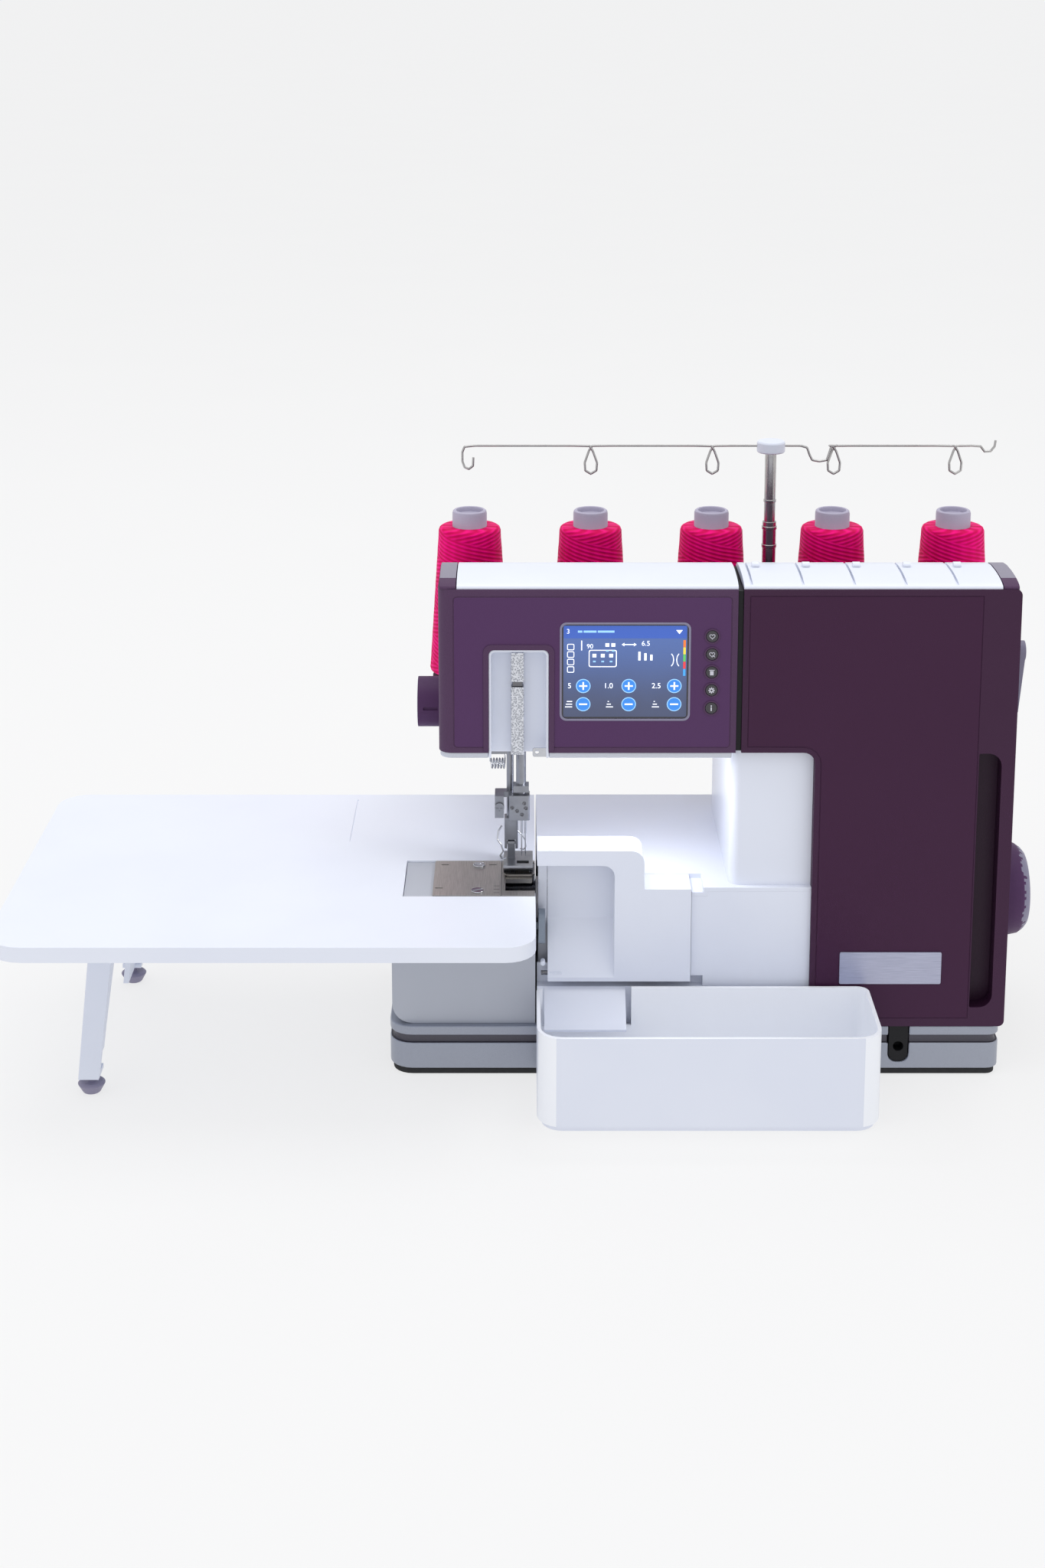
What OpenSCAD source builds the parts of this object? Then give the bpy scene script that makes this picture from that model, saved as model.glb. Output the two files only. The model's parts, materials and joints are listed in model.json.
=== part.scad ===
// Serger overlock machine: body, loopers, extension table, trim bin and five thread cones.
// X runs to the right, Y to the back, Z up. All sizes are in millimetres.

/* [Body] */
// width of the head and the column together
body_w = 389.2; // [335:1:470]
// height of the painted body
body_h = 348.6; // [325:1:425]
// depth of the arm and the column
body_d = 172; // [155:1:210]
// height of the sewing bed above the floor
bed_h = 137; // [120:1:165]
// height of the arm from its underside to its top
arm_t = 113.8; // [95:1:115]
// width of the right column
column_w = 135.1; // [112:1:163]
// width of the white pillar under the arm
pillar_w = 56; // [46:1:68]
// thickness of the moulded shells
wall = 3; // [2.5:0.1:3.6]
// height of the base under the column
base_h = 36.3; // [32:0.5:44]

/* [Spool stand] */
// distance between two thread cones
cone_pitch = 91; // [76:1:110]
// diameter of a wound cone at its foot
cone_d = 61; // [50:1:72]
// diameter of the tube that a cone is wound on
tube_d = 25.8; // [21:0.2:31]
// diameter of a spool pin
pin_d = 8; // [6.5:0.1:9.6]
// height of the thread guide wire above the top of the body
guide_rise = 54.4; // [44:0.2:120]
// outer diameter of the lower mast tube
mast_d = 10.4; // [9.6:0.1:12.5]

/* [Drive] */
// diameter of the handwheel
wheel_d = 67; // [54:1:80]
// diameter of the main shaft
shaft_d = 12; // [10:0.5:14.4]
// diameter of the needle bar
needle_bar_d = 7; // [5.8:0.1:8.4]
// diameter of the presser bar
presser_bar_d = 5; // [4.2:0.1:6]
// how far the needle bar travels down
stroke = 27; // [22:1:30]

/* [Table and bin] */
// length of the extension table from the bed to its left end
table_w = 357.6; // [300:1:430]
// depth of the extension table
table_d = 280.5; // [256:1:336]
// height of the table's rim
table_rim = 10.6; // [9:0.2:12.6]
// length of the trim bin
bin_w = 227.9; // [190:1:272]
// depth of the trim bin from front to back
bin_d = 80; // [66:1:96]
// height of the trim bin's rim above the floor
bin_h = 65; // [54:1:66]

/* [Hidden] */
gap = 0.4;
fit = 0.05;
arc_n = 6;
fine = 48;

head_x0 = -75.3;
col_x1 = head_x0 + body_w;
col_x0 = col_x1 - column_w;
pil_x0 = col_x0 - pillar_w;
seam_w = 3.7;
seam_x = pil_x0 + 2.2;
arm_z = body_h - arm_t;
base_x0 = head_x0 - 35.7;
base_x1 = col_x1 - 2.1;
base_d = body_d + 13;
sole_h = 5;
pan_h = 24;
bed_x0 = -8.8;
bed_back = base_d;
cover_x1 = 96.6;
cover_d = 27.4;
panel_y = 3.3;
alcove_x1 = 44.2;
alcove_z = bed_h + 16.9;
hump_x1 = 64.4;
hump_z = bed_h + 27.8;
cover_z0 = base_h + 33.2;
hinge_y = 7;
hinge_z = cover_z0 + 3.5;
hinge_d = 3;
cut_x0 = -100;
cut_y0 = -12;
cut_y1 = 52;
arm_top = bed_h - table_rim - 0.8;
plate_z = bed_h + 0.2;
plate_t = 1.4;
needle_x = -19.8;
needle_y = 40;
presser_x = -27.4;
presser_y = 50;
bar_top = body_h - 11;
clamp_z = bed_h + 37;
shaft_y = 100;
shaft_z = base_h + 60.7;
motor_z = shaft_z + 103;
pulley_d = 64;
motor_pulley_d = 16;
pulley_x0 = col_x1 - 24;
pulley_w = 10;
wheel_x0 = col_x1 + 2.1;
lever_y = 60;
lever_z = body_h - 60;
knob_y = 60;
knob_z = arm_z + 17;
recess_x0 = -41.7;
recess_x1 = -1;
recess_z = arm_z + 72.2;
recess_d = 16;
screen_x0 = 7;
screen_x1 = 92.8;
slope_y = 64;
slope_drop = 40;
screen_z0 = arm_z + 23.6;
screen_z1 = arm_z + 90.4;
button_x = 107.9;
button_d = 8.2;
button_z = screen_z0 + 8.1;
button_pitch = 12.5;
switch_y = body_d - 26;
switch_z = base_h + 56;
cone_y = body_d + 37;
cone_x0 = 123.4 - 2 * cone_pitch;
tray_z = arm_z - 12.8;
cone_z = tray_z + 3.4;
cone_h = 116;
mast_x = cone_x0 + 2.48 * cone_pitch;
guide_h = body_h + guide_rise;
mast_top = guide_h - 4;
table_x1 = -10;
table_x0 = table_x1 - table_w;
table_y1 = base_d - 0.5;
table_y0 = table_y1 - table_d;
leg_x = table_x0 + 67;
leg_z = bed_h - 16;
leg_y0 = table_y0 + 62;
leg_y1 = table_y1 - 22;
bin_x0 = -9.2;
bin_x1 = bin_x0 + bin_w;
bin_y1 = -2;
bin_y0 = bin_y1 - bin_d;
bin_z1 = bin_h + 2;
y_back = cone_y + cone_d / 2;
wheel_x1 = wheel_x0 + 29.5;
shift_x = -(table_x0 + wheel_x1) / 2;
shift_y = -(table_y0 + y_back) / 2;

// ---- helpers -------------------------------------------------------------

function arc(cx, cy, r, a0, a1) =
  [for (i = [0 : arc_n]) let (a = a0 + (a1 - a0) * i / arc_n) [cx + r * cos(a), cy + r * sin(a)]];

// a rectangle with its own radius at the lower left, lower right, upper right and upper left
function rect4(x0, x1, y0, y1, ra, rb, rc, rd) = concat(
  arc(x0 + ra, y0 + ra, ra, 180, 270),
  arc(x1 - rb, y0 + rb, rb, 270, 360),
  arc(x1 - rc, y1 - rc, rc, 0, 90),
  arc(x0 + rd, y1 - rd, rd, 90, 180)
);

function rect(x0, x1, y0, y1, r) = rect4(x0, x1, y0, y1, r, r, r, r);

module box(x0, x1, y0, y1, z0, z1) {
  translate([x0, y0, z0]) cube([x1 - x0, y1 - y0, z1 - z0]);
}

module rod_x(x0, x1, y, z, d) {
  translate([x0, y, z]) rotate([0, 90, 0]) cylinder(h = x1 - x0, d = d, $fn = fine);
}

module rod_y(x, y0, y1, z, d) {
  translate([x, y0, z]) rotate([-90, 0, 0]) cylinder(h = y1 - y0, d = d, $fn = fine);
}

module rod_z(x, y, z0, z1, d) {
  translate([x, y, z0]) cylinder(h = z1 - z0, d = d, $fn = fine);
}

// an outline in X and Y, raised from z0 to z1
module slab_z(pts, z0, z1) {
  translate([0, 0, z0]) linear_extrude(height = z1 - z0) polygon(pts);
}

// an outline in X and Z, pushed from y0 to y1
module slab_y(pts, y0, y1) {
  translate([0, y1, 0]) rotate([90, 0, 0]) linear_extrude(height = y1 - y0) polygon(pts);
}

// an outline in Y and Z, pushed from x0 to x1
module slab_x(pts, x0, x1) {
  translate([x0, 0, 0]) rotate([90, 0, 90]) linear_extrude(height = x1 - x0) polygon(pts);
}

module place() {
  translate([shift_x, shift_y, 0]) children();
}

// ---- base ----------------------------------------------------------------

function base_outline(e) =
  rect4(base_x0 + e, base_x1 - e, e, base_d - e, 16 - e, 9 - e, 9 - e, 16 - e);

knee_x = base_x1 - 77;
knee_w = 13.5;

module rubber_sole() {
  color([0.08, 0.08, 0.09])
  difference() {
    slab_z(base_outline(2), 0, sole_h);
    slab_z(base_outline(8), -1, sole_h + 1);
  }
}

module base_pan() {
  color([0.72, 0.74, 0.79])
  difference() {
    union() {
      slab_z(base_outline(0), sole_h, pan_h);
      slab_z(base_outline(2.5), pan_h, pan_h + 5.5);
      slab_z(base_outline(0), pan_h + 5.5, base_h);
    }
    slab_z(base_outline(7), sole_h + 3, base_h + 1);
    slab_y(rect4(knee_x - gap, knee_x + knee_w + gap, 9.6, base_h + 8, 6, 6, 1, 1), -1, 9);
  }
}

module knee_socket() {
  color([0.06, 0.06, 0.07])
  difference() {
    slab_y(rect4(knee_x, knee_x + knee_w, 10, base_h, 6, 6, 1, 1), 1, 11.6);
    rod_y(knee_x + knee_w / 2, -1, 10, 21, 7);
  }
}

// ---- cast frame ----------------------------------------------------------

bearing_x = [-72, 62, 164];
lower_pivot = [26, bed_h - 45];
upper_pivot = [34, bed_h - 56];

module bearing(x) {
  difference() {
    box(x, x + 10, shaft_y - 14, shaft_y + 14, sole_h + 8, shaft_z + 12);
    rod_x(x - 1, x + 11, shaft_y, shaft_z, shaft_d + 2 * fit);
  }
}

post_x = col_x0 + 6;

module cast_frame() {
  color([0.62, 0.63, 0.65])
  difference() {
    union() {
      box(base_x0 + 12, base_x1 - 12, 12, base_d - 14, sole_h + 3, sole_h + 9);
      for (x = bearing_x) bearing(x);
      // column post and motor flange
      box(post_x, post_x + 20, 30, 82, sole_h + 8, body_h - 14);
      box(post_x + 14, post_x + 20, 30, shaft_y + 34, motor_z - 40, motor_z + 40);
      // arm beam, head web and lower bushing block
      box(-58, post_x + 1, 28, 82, body_h - 44, body_h - 14);
      box(-58, -44, 28, 62, arm_z + 4, body_h - 40);
      box(-58, -4, 30, 60, arm_z + 4, arm_z + 18);
      // lugs that carry the looper cover's hinge rod
      for (x = [57, 72]) {
        box(x, x + 5, 10, 22, hinge_z - 3.2, hinge_z + 3.2);
        rod_x(x, x + 5, hinge_y, hinge_z, 6.4);
        box(x, x + 5, hinge_y, 12, hinge_z, hinge_z + 3.2);
      }
      box(57, 77, 18, 23, sole_h + 8, hinge_z + 3.2);
      // wall that carries the two looper shafts
      box(18, 42, 63, 69, sole_h + 8, bed_h - 37);
    }
    rod_y(lower_pivot[0], 60, 70, lower_pivot[1], 8 + 2 * fit);
    rod_y(upper_pivot[0], 60, 70, upper_pivot[1], 8 + 2 * fit);
    rod_x(50, 80, hinge_y, hinge_z, hinge_d + 2 * fit);
    rod_z(needle_x, needle_y, arm_z, body_h, needle_bar_d + 2 * fit);
    rod_z(presser_x, presser_y, arm_z, body_h, presser_bar_d + 2 * fit);
  }
}

// ---- shells --------------------------------------------------------------

// the column's outline in X and Z, drawn in by e
function column_outline(e) = concat(
  [[seam_x + seam_w, arm_z + e], [col_x0 - 8, arm_z + e]],
  [for (p = arc(col_x0 - 8, arm_z - 8, 8 + e, 90, 0)) p],
  [[col_x0 + e, base_h + e]],
  arc(col_x1 - 4, base_h + 4, 4 - e, 270, 360),
  arc(col_x1 - 4, body_h - 4, 4 - e, 0, 90),
  [[seam_x + seam_w, body_h - e]]
);

// the space over the roof, which falls towards the back; e is how far it is lowered
module over_roof(e) {
  slab_x([
    [slope_y, body_h - e],
    [body_d + 9, body_h - e - slope_drop * (body_d + 9 - slope_y) / (body_d - slope_y)],
    [body_d + 9, body_h + 1], [slope_y, body_h + 1]
  ], head_x0 - 1, col_x1 + 1);
}

pocket_x0 = col_x1 - 24.5;
pocket_x1 = col_x1 - 9.1;
pocket_z0 = base_h + 14.1;
pocket_z1 = arm_z - 0.6;

function pocket_outline(e) =
  rect4(pocket_x0 - e, pocket_x1 + e, pocket_z0 - e, pocket_z1 + e, 1, 9 + e, 9 + e, 1);

module column_shell() {
  color([0.25, 0.15, 0.25])
  difference() {
    union() {
      difference() {
        slab_y(column_outline(0), 0, body_d);
        difference() {
          union() {
            slab_y(column_outline(wall), wall, body_d + 1);
            box(seam_x, seam_x + 12, wall, body_d + 1, arm_z + wall, body_h - wall);
          }
          over_roof(wall);
        }
      }
      slab_y(pocket_outline(2), wall - 0.5, 15);
    }
    over_roof(0);
    box(post_x - gap, post_x + 20 + gap, 30 - gap, 82 + gap, base_h - 1, base_h + wall + 1);
    slab_y(pocket_outline(0), -1, 13);
    rod_x(col_x1 - 5, col_x1 + 1, shaft_y, shaft_z, shaft_d + 3);
    rod_x(col_x0 - 1, col_x0 + wall + 1, shaft_y, shaft_z, shaft_d + 3);
    rod_x(col_x1 - 5, col_x1 + 1, lever_y, lever_z, 8 + 2 * fit);
    box(col_x1 - 5, col_x1 + 1, switch_y - 8, switch_y + 8, switch_z - 6, switch_z + 6);
  }
}

module head_shell() {
  color([0.33, 0.22, 0.35])
  difference() {
    slab_z(rect4(head_x0, seam_x, 0, body_d, 9, 0.2, 0.2, 9), arm_z, body_h);
    difference() {
      slab_z(
        rect4(head_x0 + wall, seam_x + 1, wall, body_d - wall, 6, 0.2, 0.2, 6),
        arm_z - 1, body_h - wall
      );
      over_roof(wall);
    }
    over_roof(0);
    slab_y(rect4(recess_x0, recess_x1, arm_z - 9, recess_z, 1, 1, 4, 4), -1, wall + 1);
    slab_y(rect(screen_x0, screen_x1, screen_z0, screen_z1, 4), -1, wall + 1);
    for (i = [0 : 4])
      rod_y(button_x, -1, wall + 1, button_z + i * button_pitch, button_d + 2 * fit);
    rod_x(head_x0 - 1, head_x0 + wall + 1, knob_y, knob_z, 8 + 2 * fit);
  }
}

module seam_strip() {
  color([0.05, 0.05, 0.06])
  difference() {
    box(seam_x, seam_x + seam_w, 1.2, body_d - 1.2, arm_z + 1.2, body_h - 1.2);
    difference() {
      box(seam_x - 1, seam_x + seam_w + 1, 6, body_d - 6, arm_z - 1, body_h - 6);
      over_roof(6);
    }
    over_roof(1.2);
  }
}

module rear_cover() {
  color([0.2, 0.12, 0.2])
  difference() {
    slab_y(column_outline(0), body_d, body_d + 3);
    over_roof(0);
    for (i = [0 : 7])
      box(col_x0 + 26, col_x1 - 30, body_d - 1, body_d + 4, base_h + 90 + 7 * i, base_h + 93 + 7 * i);
  }
}

module arm_underside() {
  color([0.86, 0.87, 0.9])
  difference() {
    slab_z(rect4(head_x0 + 0.8, pil_x0 - gap, 1, body_d - 1, 8, 1, 1, 8), arm_z - 4, arm_z);
    box(recess_x0, recess_x1, -1, recess_d, arm_z - 5, arm_z + 1);
    slab_z(rect(-38, -10, 31, 60, 5), arm_z - 5, arm_z + 1);
    for (x = [18, 58])
      box(x, x + 32, 4, 9, arm_z - 5, arm_z + 1);
  }
}

bar_y1 = 62;

// the curved section of the white bar on top of the arm
bar_profile = concat(
  [[0.8, body_h], [0.8, body_h + 1.2]],
  [for (i = [1 : 8]) let (a = 10 * i) [0.8 + 34 * (1 - cos(a)) , body_h + 1.2 + 4.6 * sin(a)]],
  [[44, body_h + 5.6], [56, body_h + 4.2], [bar_y1, body_h + 1.4], [bar_y1, body_h]]
);

channel_x = [for (i = [0 : 4]) seam_x + seam_w + 4.5 + 34.3 * i];

module top_bar() {
  color([0.93, 0.94, 0.98]) {
    difference() {
      union() {
        slab_x(bar_profile, head_x0 + 12.6, seam_x);
        slab_x(bar_profile, seam_x + seam_w, col_x1 - 13);
      }
      for (x = channel_x)
        box(x, x + 1.4, -1, bar_y1 + 1, body_h + 2.4, body_h + 9);
    }
    for (x = channel_x)
      slab_x(arc(40, body_h + 5.9, 3, 0, 180), x + 4, x + 9);
  }
  color([0.6, 0.58, 0.66]) {
    slab_x(bar_profile, head_x0 + 1, head_x0 + 12);
    slab_x(bar_profile, col_x1 - 12.4, col_x1 - 2);
  }
}

// ---- pillar, bed and lower body ------------------------------------------

pil_y0 = 8;
pil_y1 = body_d - 8;

module pillar() {
  color([0.92, 0.93, 0.97])
  difference() {
    slab_z(rect4(pil_x0, col_x0, pil_y0, pil_y1, 7, 0.2, 0.2, 7), bed_h, arm_z);
    slab_z(rect4(pil_x0 + wall, col_x0 + 1, pil_y0 + wall, pil_y1 - wall, 4, 0.2, 0.2, 4),
      bed_h - 1, arm_z + 1);
    // the column's rounded inner corner
    difference() {
      box(col_x0 - 8, col_x0 + 2, pil_y0 - 1, pil_y1 + 1, arm_z - 8, arm_z + 1);
      rod_y(col_x0 - 8, pil_y0 - 2, pil_y1 + 2, arm_z - 8, 16 - 2 * fit);
    }
  }
}

looper_hole_x = 16;

module bed_cover() {
  color([0.93, 0.94, 0.98])
  difference() {
    union() {
      box(bed_x0, col_x0, cover_d + 0.6, bed_back - 3, bed_h - 3, bed_h);
      box(cover_x1 + 9.4, col_x0, panel_y, cover_d + 2, bed_h - 3, bed_h);
      box(cover_x1 + gap, cover_x1 + 9.4, panel_y, cover_d + 2, bed_h - 6.4, bed_h - 3.4);
      box(cover_x1 + 8.4, cover_x1 + 11, panel_y, cover_d + 2, bed_h - 6.4, bed_h);
      box(cover_x1 + gap, cover_x1 + 11, cover_d + 0.6, cover_d + 3, bed_h - 6.4, bed_h);
      box(bed_x0, col_x0, bed_back - 3, bed_back, base_h, bed_h);
    }
    slab_z(rect4(bed_x0 - 5, looper_hole_x, cover_d - 5, 60, 1, 1, 4, 1), bed_h - 4, bed_h + 1);
  }
}

module front_panel() {
  color([0.92, 0.93, 0.97]) {
    box(bed_x0, col_x0, panel_y, panel_y + 3, base_h, cover_z0 - 5);
    difference() {
      union() {
        box(cover_x1 + gap, col_x0, panel_y, panel_y + 3, base_h, bed_h - 6.4);
        box(cover_x1 + gap, cover_x1 + 11, panel_y, 12, hinge_z - 10.6, hinge_z + 1.6);
      }
      // room for the cover's lower corner when it is slid aside and open
      box(cover_x1 - 1, cover_x1 + 8.8, panel_y - 1, 10, hinge_z - 8.6, hinge_z - 0.4);
    }
    box(cover_x1 + 11, col_x0, panel_y, panel_y + 3, bed_h - 7, bed_h - 3);
    // lip behind the cover's lower edge
    difference() {
      slab_x([
        [panel_y, cover_z0 - 5], [panel_y, cover_z0 - 7.4], [14, cover_z0 - 7.4], [14, hinge_z + 5],
        [12.4, hinge_z + 5], [12.4, cover_z0 - 5]
      ], bed_x0, cover_x1 + gap);
      for (x = [57, 72]) box(x - gap, x + 5 + gap, 12, 15, hinge_z - 3.6, hinge_z + 3.6);
    }
    // wall behind the cutter knob
    box(-8, -1.7, 12.4, 24.6, cover_z0 - 7.4, cover_z0 - 5);
    box(-8, -1.7, 22.6, 24.6, cover_z0 - 7.4, bed_h + 13);
    // trim chute that reaches into the bin
    slab_x([[panel_y, cover_z0 - 5], [panel_y, cover_z0 - 8], [-21.4, base_h + 6.2], [-22, base_h + 8]],
      -4, 52);
  }
}

module free_arm() {
  color([0.91, 0.92, 0.96])
  difference() {
    union() {
      slab_y(rect4(base_x0 + 2, -10, base_h, arm_top, 14, 0.2, 0.2, 3), 5, base_d - 0.6);
      slab_z(rect4(cut_x0 + gap, -10, cut_y0 + gap, cut_y1 - gap, 2, 0.2, 0.2, 2),
        arm_top - 8, plate_z - plate_t);
    }
    // hollow for the shafts, the loopers and the knives
    slab_y(rect4(base_x0 + 5, -9, base_h + 3, arm_top - 3, 11, 0.2, 0.2, 2), 8, base_d - 3.6);
    box(base_x0 + 17, -9, 9, base_d - 5, base_h - 1, base_h + 4);
    box(cut_x0 + 3, -9, cut_y0 + 3, cut_y1 - 3, arm_top - 5, plate_z - plate_t - 3);
    box(cut_x0 + 3, -9, 10, cut_y1 - 3, arm_top - 9, arm_top - 2);
    box(-33, -9, -3, cut_y1 - 1.6, arm_top - 2, plate_z);
  }
}

module cloth_plate() {
  color([0.66, 0.67, 0.7])
  difference() {
    slab_z(rect(-80, -33.4, cut_y0 + 1, cut_y1 - 1, 1.5), plate_z - plate_t, plate_z);
    for (p = screw_at) rod_z(p[0], p[1], bed_h - 3, bed_h + 2, 4.2);
    for (p = slot_at) box(p[0] - 2.6, p[0] + 2.6, p[1] - 0.8, p[1] + 0.8, bed_h - 3, bed_h + 2);
  }
}

screw_at = [[-49.3, 42], [-49.6, -4]];
slot_at = [[-73, 44], [-39.5, 44], [-76, 2]];

module plate_screws() {
  color([0.7, 0.71, 0.73])
  for (p = screw_at) {
    difference() {
      rod_z(p[0], p[1], plate_z, plate_z + 1.2, 8.6);
      translate([p[0], p[1], 0]) rotate([0, 0, 28]) box(-5, 5, -0.6, 0.6, plate_z + 0.5, plate_z + 2);
    }
  }
}

module stitch_plate() {
  color([0.7, 0.71, 0.74]) {
    difference() {
      slab_z(rect4(-33, -10.4, 26, cut_y1 - gap, 5, 3, 0.5, 0.5), plate_z - plate_t, plate_z);
      box(-22.6, -14.6, 38, 42, bed_h - 3, bed_h + 2);
      for (x = dog_x) box(x - 0.4, x + 2.8, 29.5, cut_y1 - 3, bed_h - 3, bed_h + 2);
    }
    // fixed lower knife and the plate in front of it
    box(-33, -10.4, cut_y0 + 1, -2.6, plate_z - plate_t, plate_z);
    box(-33, -30.6, -3, 30, plate_z - 5, plate_z - 0.4);
    box(-31, -12.2, 22.4, 26, plate_z - 5, plate_z - 1.8);
  }
}

dog_x = [-31.4, -27, -13.6];

// ---- head details --------------------------------------------------------

module needle_recess() {
  color([0.94, 0.95, 0.98])
  difference() {
    slab_y(rect4(recess_x0 + 0.1, recess_x1 - 0.1, arm_z - 4, recess_z - 0.1, 1, 1, 4, 4), 0.4,
      recess_d - 0.2);
    slab_y(rect4(recess_x0 + 1.8, recess_x1 - 1.8, arm_z - 12, recess_z - 1.8, 1, 1, 3, 3), -1,
      recess_d - 2);
  }
}

module needle_strip() {
  color([0.75, 0.76, 0.79]) {
    box(-26.6, -17.8, 7, recess_d - 2, arm_z + 47.4, recess_z - 4);
    box(-26.6, -17.8, 7, recess_d - 2, arm_z - 4, arm_z + 44);
    box(-25.6, -18.8, 9, recess_d - 2, arm_z + 43, arm_z + 48);
  }
}

module touch_screen() {
  color([0.08, 0.1, 0.16]) {
    slab_y(rect(screen_x0 + 0.1, screen_x1 - 0.1, screen_z0 + 0.1, screen_z1 - 0.1, 4), 0.5, wall);
    slab_y(rect(screen_x0 - 5, screen_x1 + 5, screen_z0 - 5, screen_z1 + 5, 3), wall, wall + 6);
  }
}

module blank_plate() {
  color([0.78, 0.79, 0.81])
  slab_y(rect(col_x0 + 20.2, col_x0 + 90.2, base_h + 31.7, base_h + 55.1, 1.2), -1, 0);
}

// ---- drive ---------------------------------------------------------------

module motor() {
  color([0.3, 0.31, 0.33])
  difference() {
    rod_x(post_x + 20, pulley_x0 - 8, shaft_y, motor_z, 58);
    rod_x(post_x + 40, pulley_x0 - 7, shaft_y, motor_z, 8 + 2 * fit);
  }
}

// an outline around the two pulleys in Y and Z, e outside their rims
function belt_outline(e) =
  let (r1 = pulley_d / 2 + e, r2 = motor_pulley_d / 2 + e, a = asin((r1 - r2) / (motor_z - shaft_z)))
  concat(
    [for (i = [0 : 18]) let (t = 180 - a + (180 + 2 * a) * i / 18) [shaft_y + r1 * cos(t),
      shaft_z + r1 * sin(t)]],
    [for (i = [0 : 10]) let (t = a + (180 - 2 * a) * i / 10) [shaft_y + r2 * cos(t), motor_z + r2 * sin(t)]]
  );

module drive_belt() {
  color([0.07, 0.07, 0.07])
  difference() {
    slab_x(belt_outline(2), pulley_x0 + 1.5, pulley_x0 + pulley_w - 1.5);
    slab_x(belt_outline(0.5), pulley_x0, pulley_x0 + pulley_w);
  }
}

module power_inlet() {
  color([0.05, 0.05, 0.06])
  difference() {
    box(col_x1, col_x1 + 1.6, switch_y - 12, switch_y + 12, switch_z - 40, switch_z - 12);
    box(col_x1 - 1, col_x1 + 3, switch_y - 9, switch_y + 9, switch_z - 36, switch_z - 16);
  }
  color([0.6, 0.6, 0.58])
  for (y = [-5, 0, 5])
    box(col_x1, col_x1 + 1.2, switch_y + y - 0.8, switch_y + y + 0.8, switch_z - 29, switch_z - 23);
}

module handwheel() {
  color([0.35, 0.25, 0.38])
  translate([0, shaft_y, shaft_z]) rotate([0, 90, 0]) rotate_extrude($fn = 60)
  polygon([
    [0, wheel_x0], [wheel_d / 2 - 5, wheel_x0], [wheel_d / 2 - 1.6, wheel_x0 + 4],
    [wheel_d / 2, wheel_x0 + 10], [wheel_d / 2, wheel_x0 + 17], [wheel_d / 2 - 1.2, wheel_x0 + 23],
    [wheel_d / 2 - 4, wheel_x0 + 27], [wheel_d / 2 - 7, wheel_x1], [wheel_d / 2 - 10, wheel_x1],
    [wheel_d / 2 - 12, wheel_x1 - 3], [0, wheel_x1 - 3]
  ]);
}

module main_shaft() {
  color([0.74, 0.75, 0.77]) {
    rod_x(-84, wheel_x0, shaft_y, shaft_z, shaft_d);
    rod_x(pulley_x0, pulley_x0 + pulley_w, shaft_y, shaft_z, pulley_d);
    for (x = [-48, 34, 84, 128]) rod_x(x, x + 12, shaft_y, shaft_z, 26);
    for (x = [-78.4, 72.3]) rod_x(x, x + 6, shaft_y, shaft_z, shaft_d + 6);
  }
}

module motor_rotor() {
  color([0.72, 0.73, 0.75]) {
    rod_x(post_x + 42, pulley_x0 + pulley_w, shaft_y, motor_z, 8);
    rod_x(pulley_x0, pulley_x0 + pulley_w, shaft_y, motor_z, motor_pulley_d);
  }
}

// ---- needle and presser --------------------------------------------------

module needle_bar() {
  color([0.78, 0.79, 0.81]) {
    rod_z(needle_x, needle_y, clamp_z + 18, bar_top, needle_bar_d);
    box(needle_x - 5.4, needle_x + 5.4, needle_y - 5, needle_y + 4, clamp_z + 19.6, clamp_z + 24.5);
    difference() {
      slab_z(rect(needle_x - 8.6, needle_x + 6, needle_y - 7, needle_y + 4, 1.4), clamp_z, clamp_z + 18);
      for (p = set_screws)
        rod_y(needle_x + p[0], needle_y - 8, needle_y - 4, clamp_z + p[1], 2.6);
    }
  }
}

set_screws = [[-6.2, 9.4], [-2.8, 7], [0.6, 4.4], [2.2, 12.6], [3.2, 9]];

module needles() {
  color([0.82, 0.83, 0.85])
  for (x = [needle_x + 0.4, needle_x + 3]) {
    rod_z(x, needle_y, clamp_z - 12, clamp_z, 1.5);
    rod_z(x, needle_y, clamp_z - 25.4, clamp_z - 12, 0.9);
    translate([x, needle_y, clamp_z - 29]) cylinder(h = 3.6, d1 = 0.1, d2 = 0.9, $fn = 24);
  }
}

module presser_bar() {
  color([0.76, 0.77, 0.79]) {
    rod_z(presser_x, presser_y, bed_h + 20, bar_top, presser_bar_d);
    // thread bracket beside the needle clamp
    slab_z(rect(presser_x - 10.6, presser_x + 4, presser_y - 3, presser_y + 4, 1), clamp_z + 12,
      clamp_z + 16);
    box(presser_x - 10.6, presser_x - 4.4, presser_y - 12, presser_y - 2.4, clamp_z, clamp_z + 16);
    rod_y(presser_x - 7.4, presser_y - 13.6, presser_y - 11, clamp_z + 8, 6.6);
    // shank that the foot clips to
    difference() {
      slab_z(rect(presser_x - 4, presser_x + 5.4, presser_y - 4.4, presser_y + 4.4, 1), bed_h + 11.4,
        bed_h + 34);
      box(presser_x - 2.2, presser_x + 3.6, presser_y - 5, presser_y + 5, bed_h + 11, bed_h + 18);
    }
    rod_x(presser_x - 3, presser_x + 4.4, presser_y, bed_h + 14.4, 2);
  }
}

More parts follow.
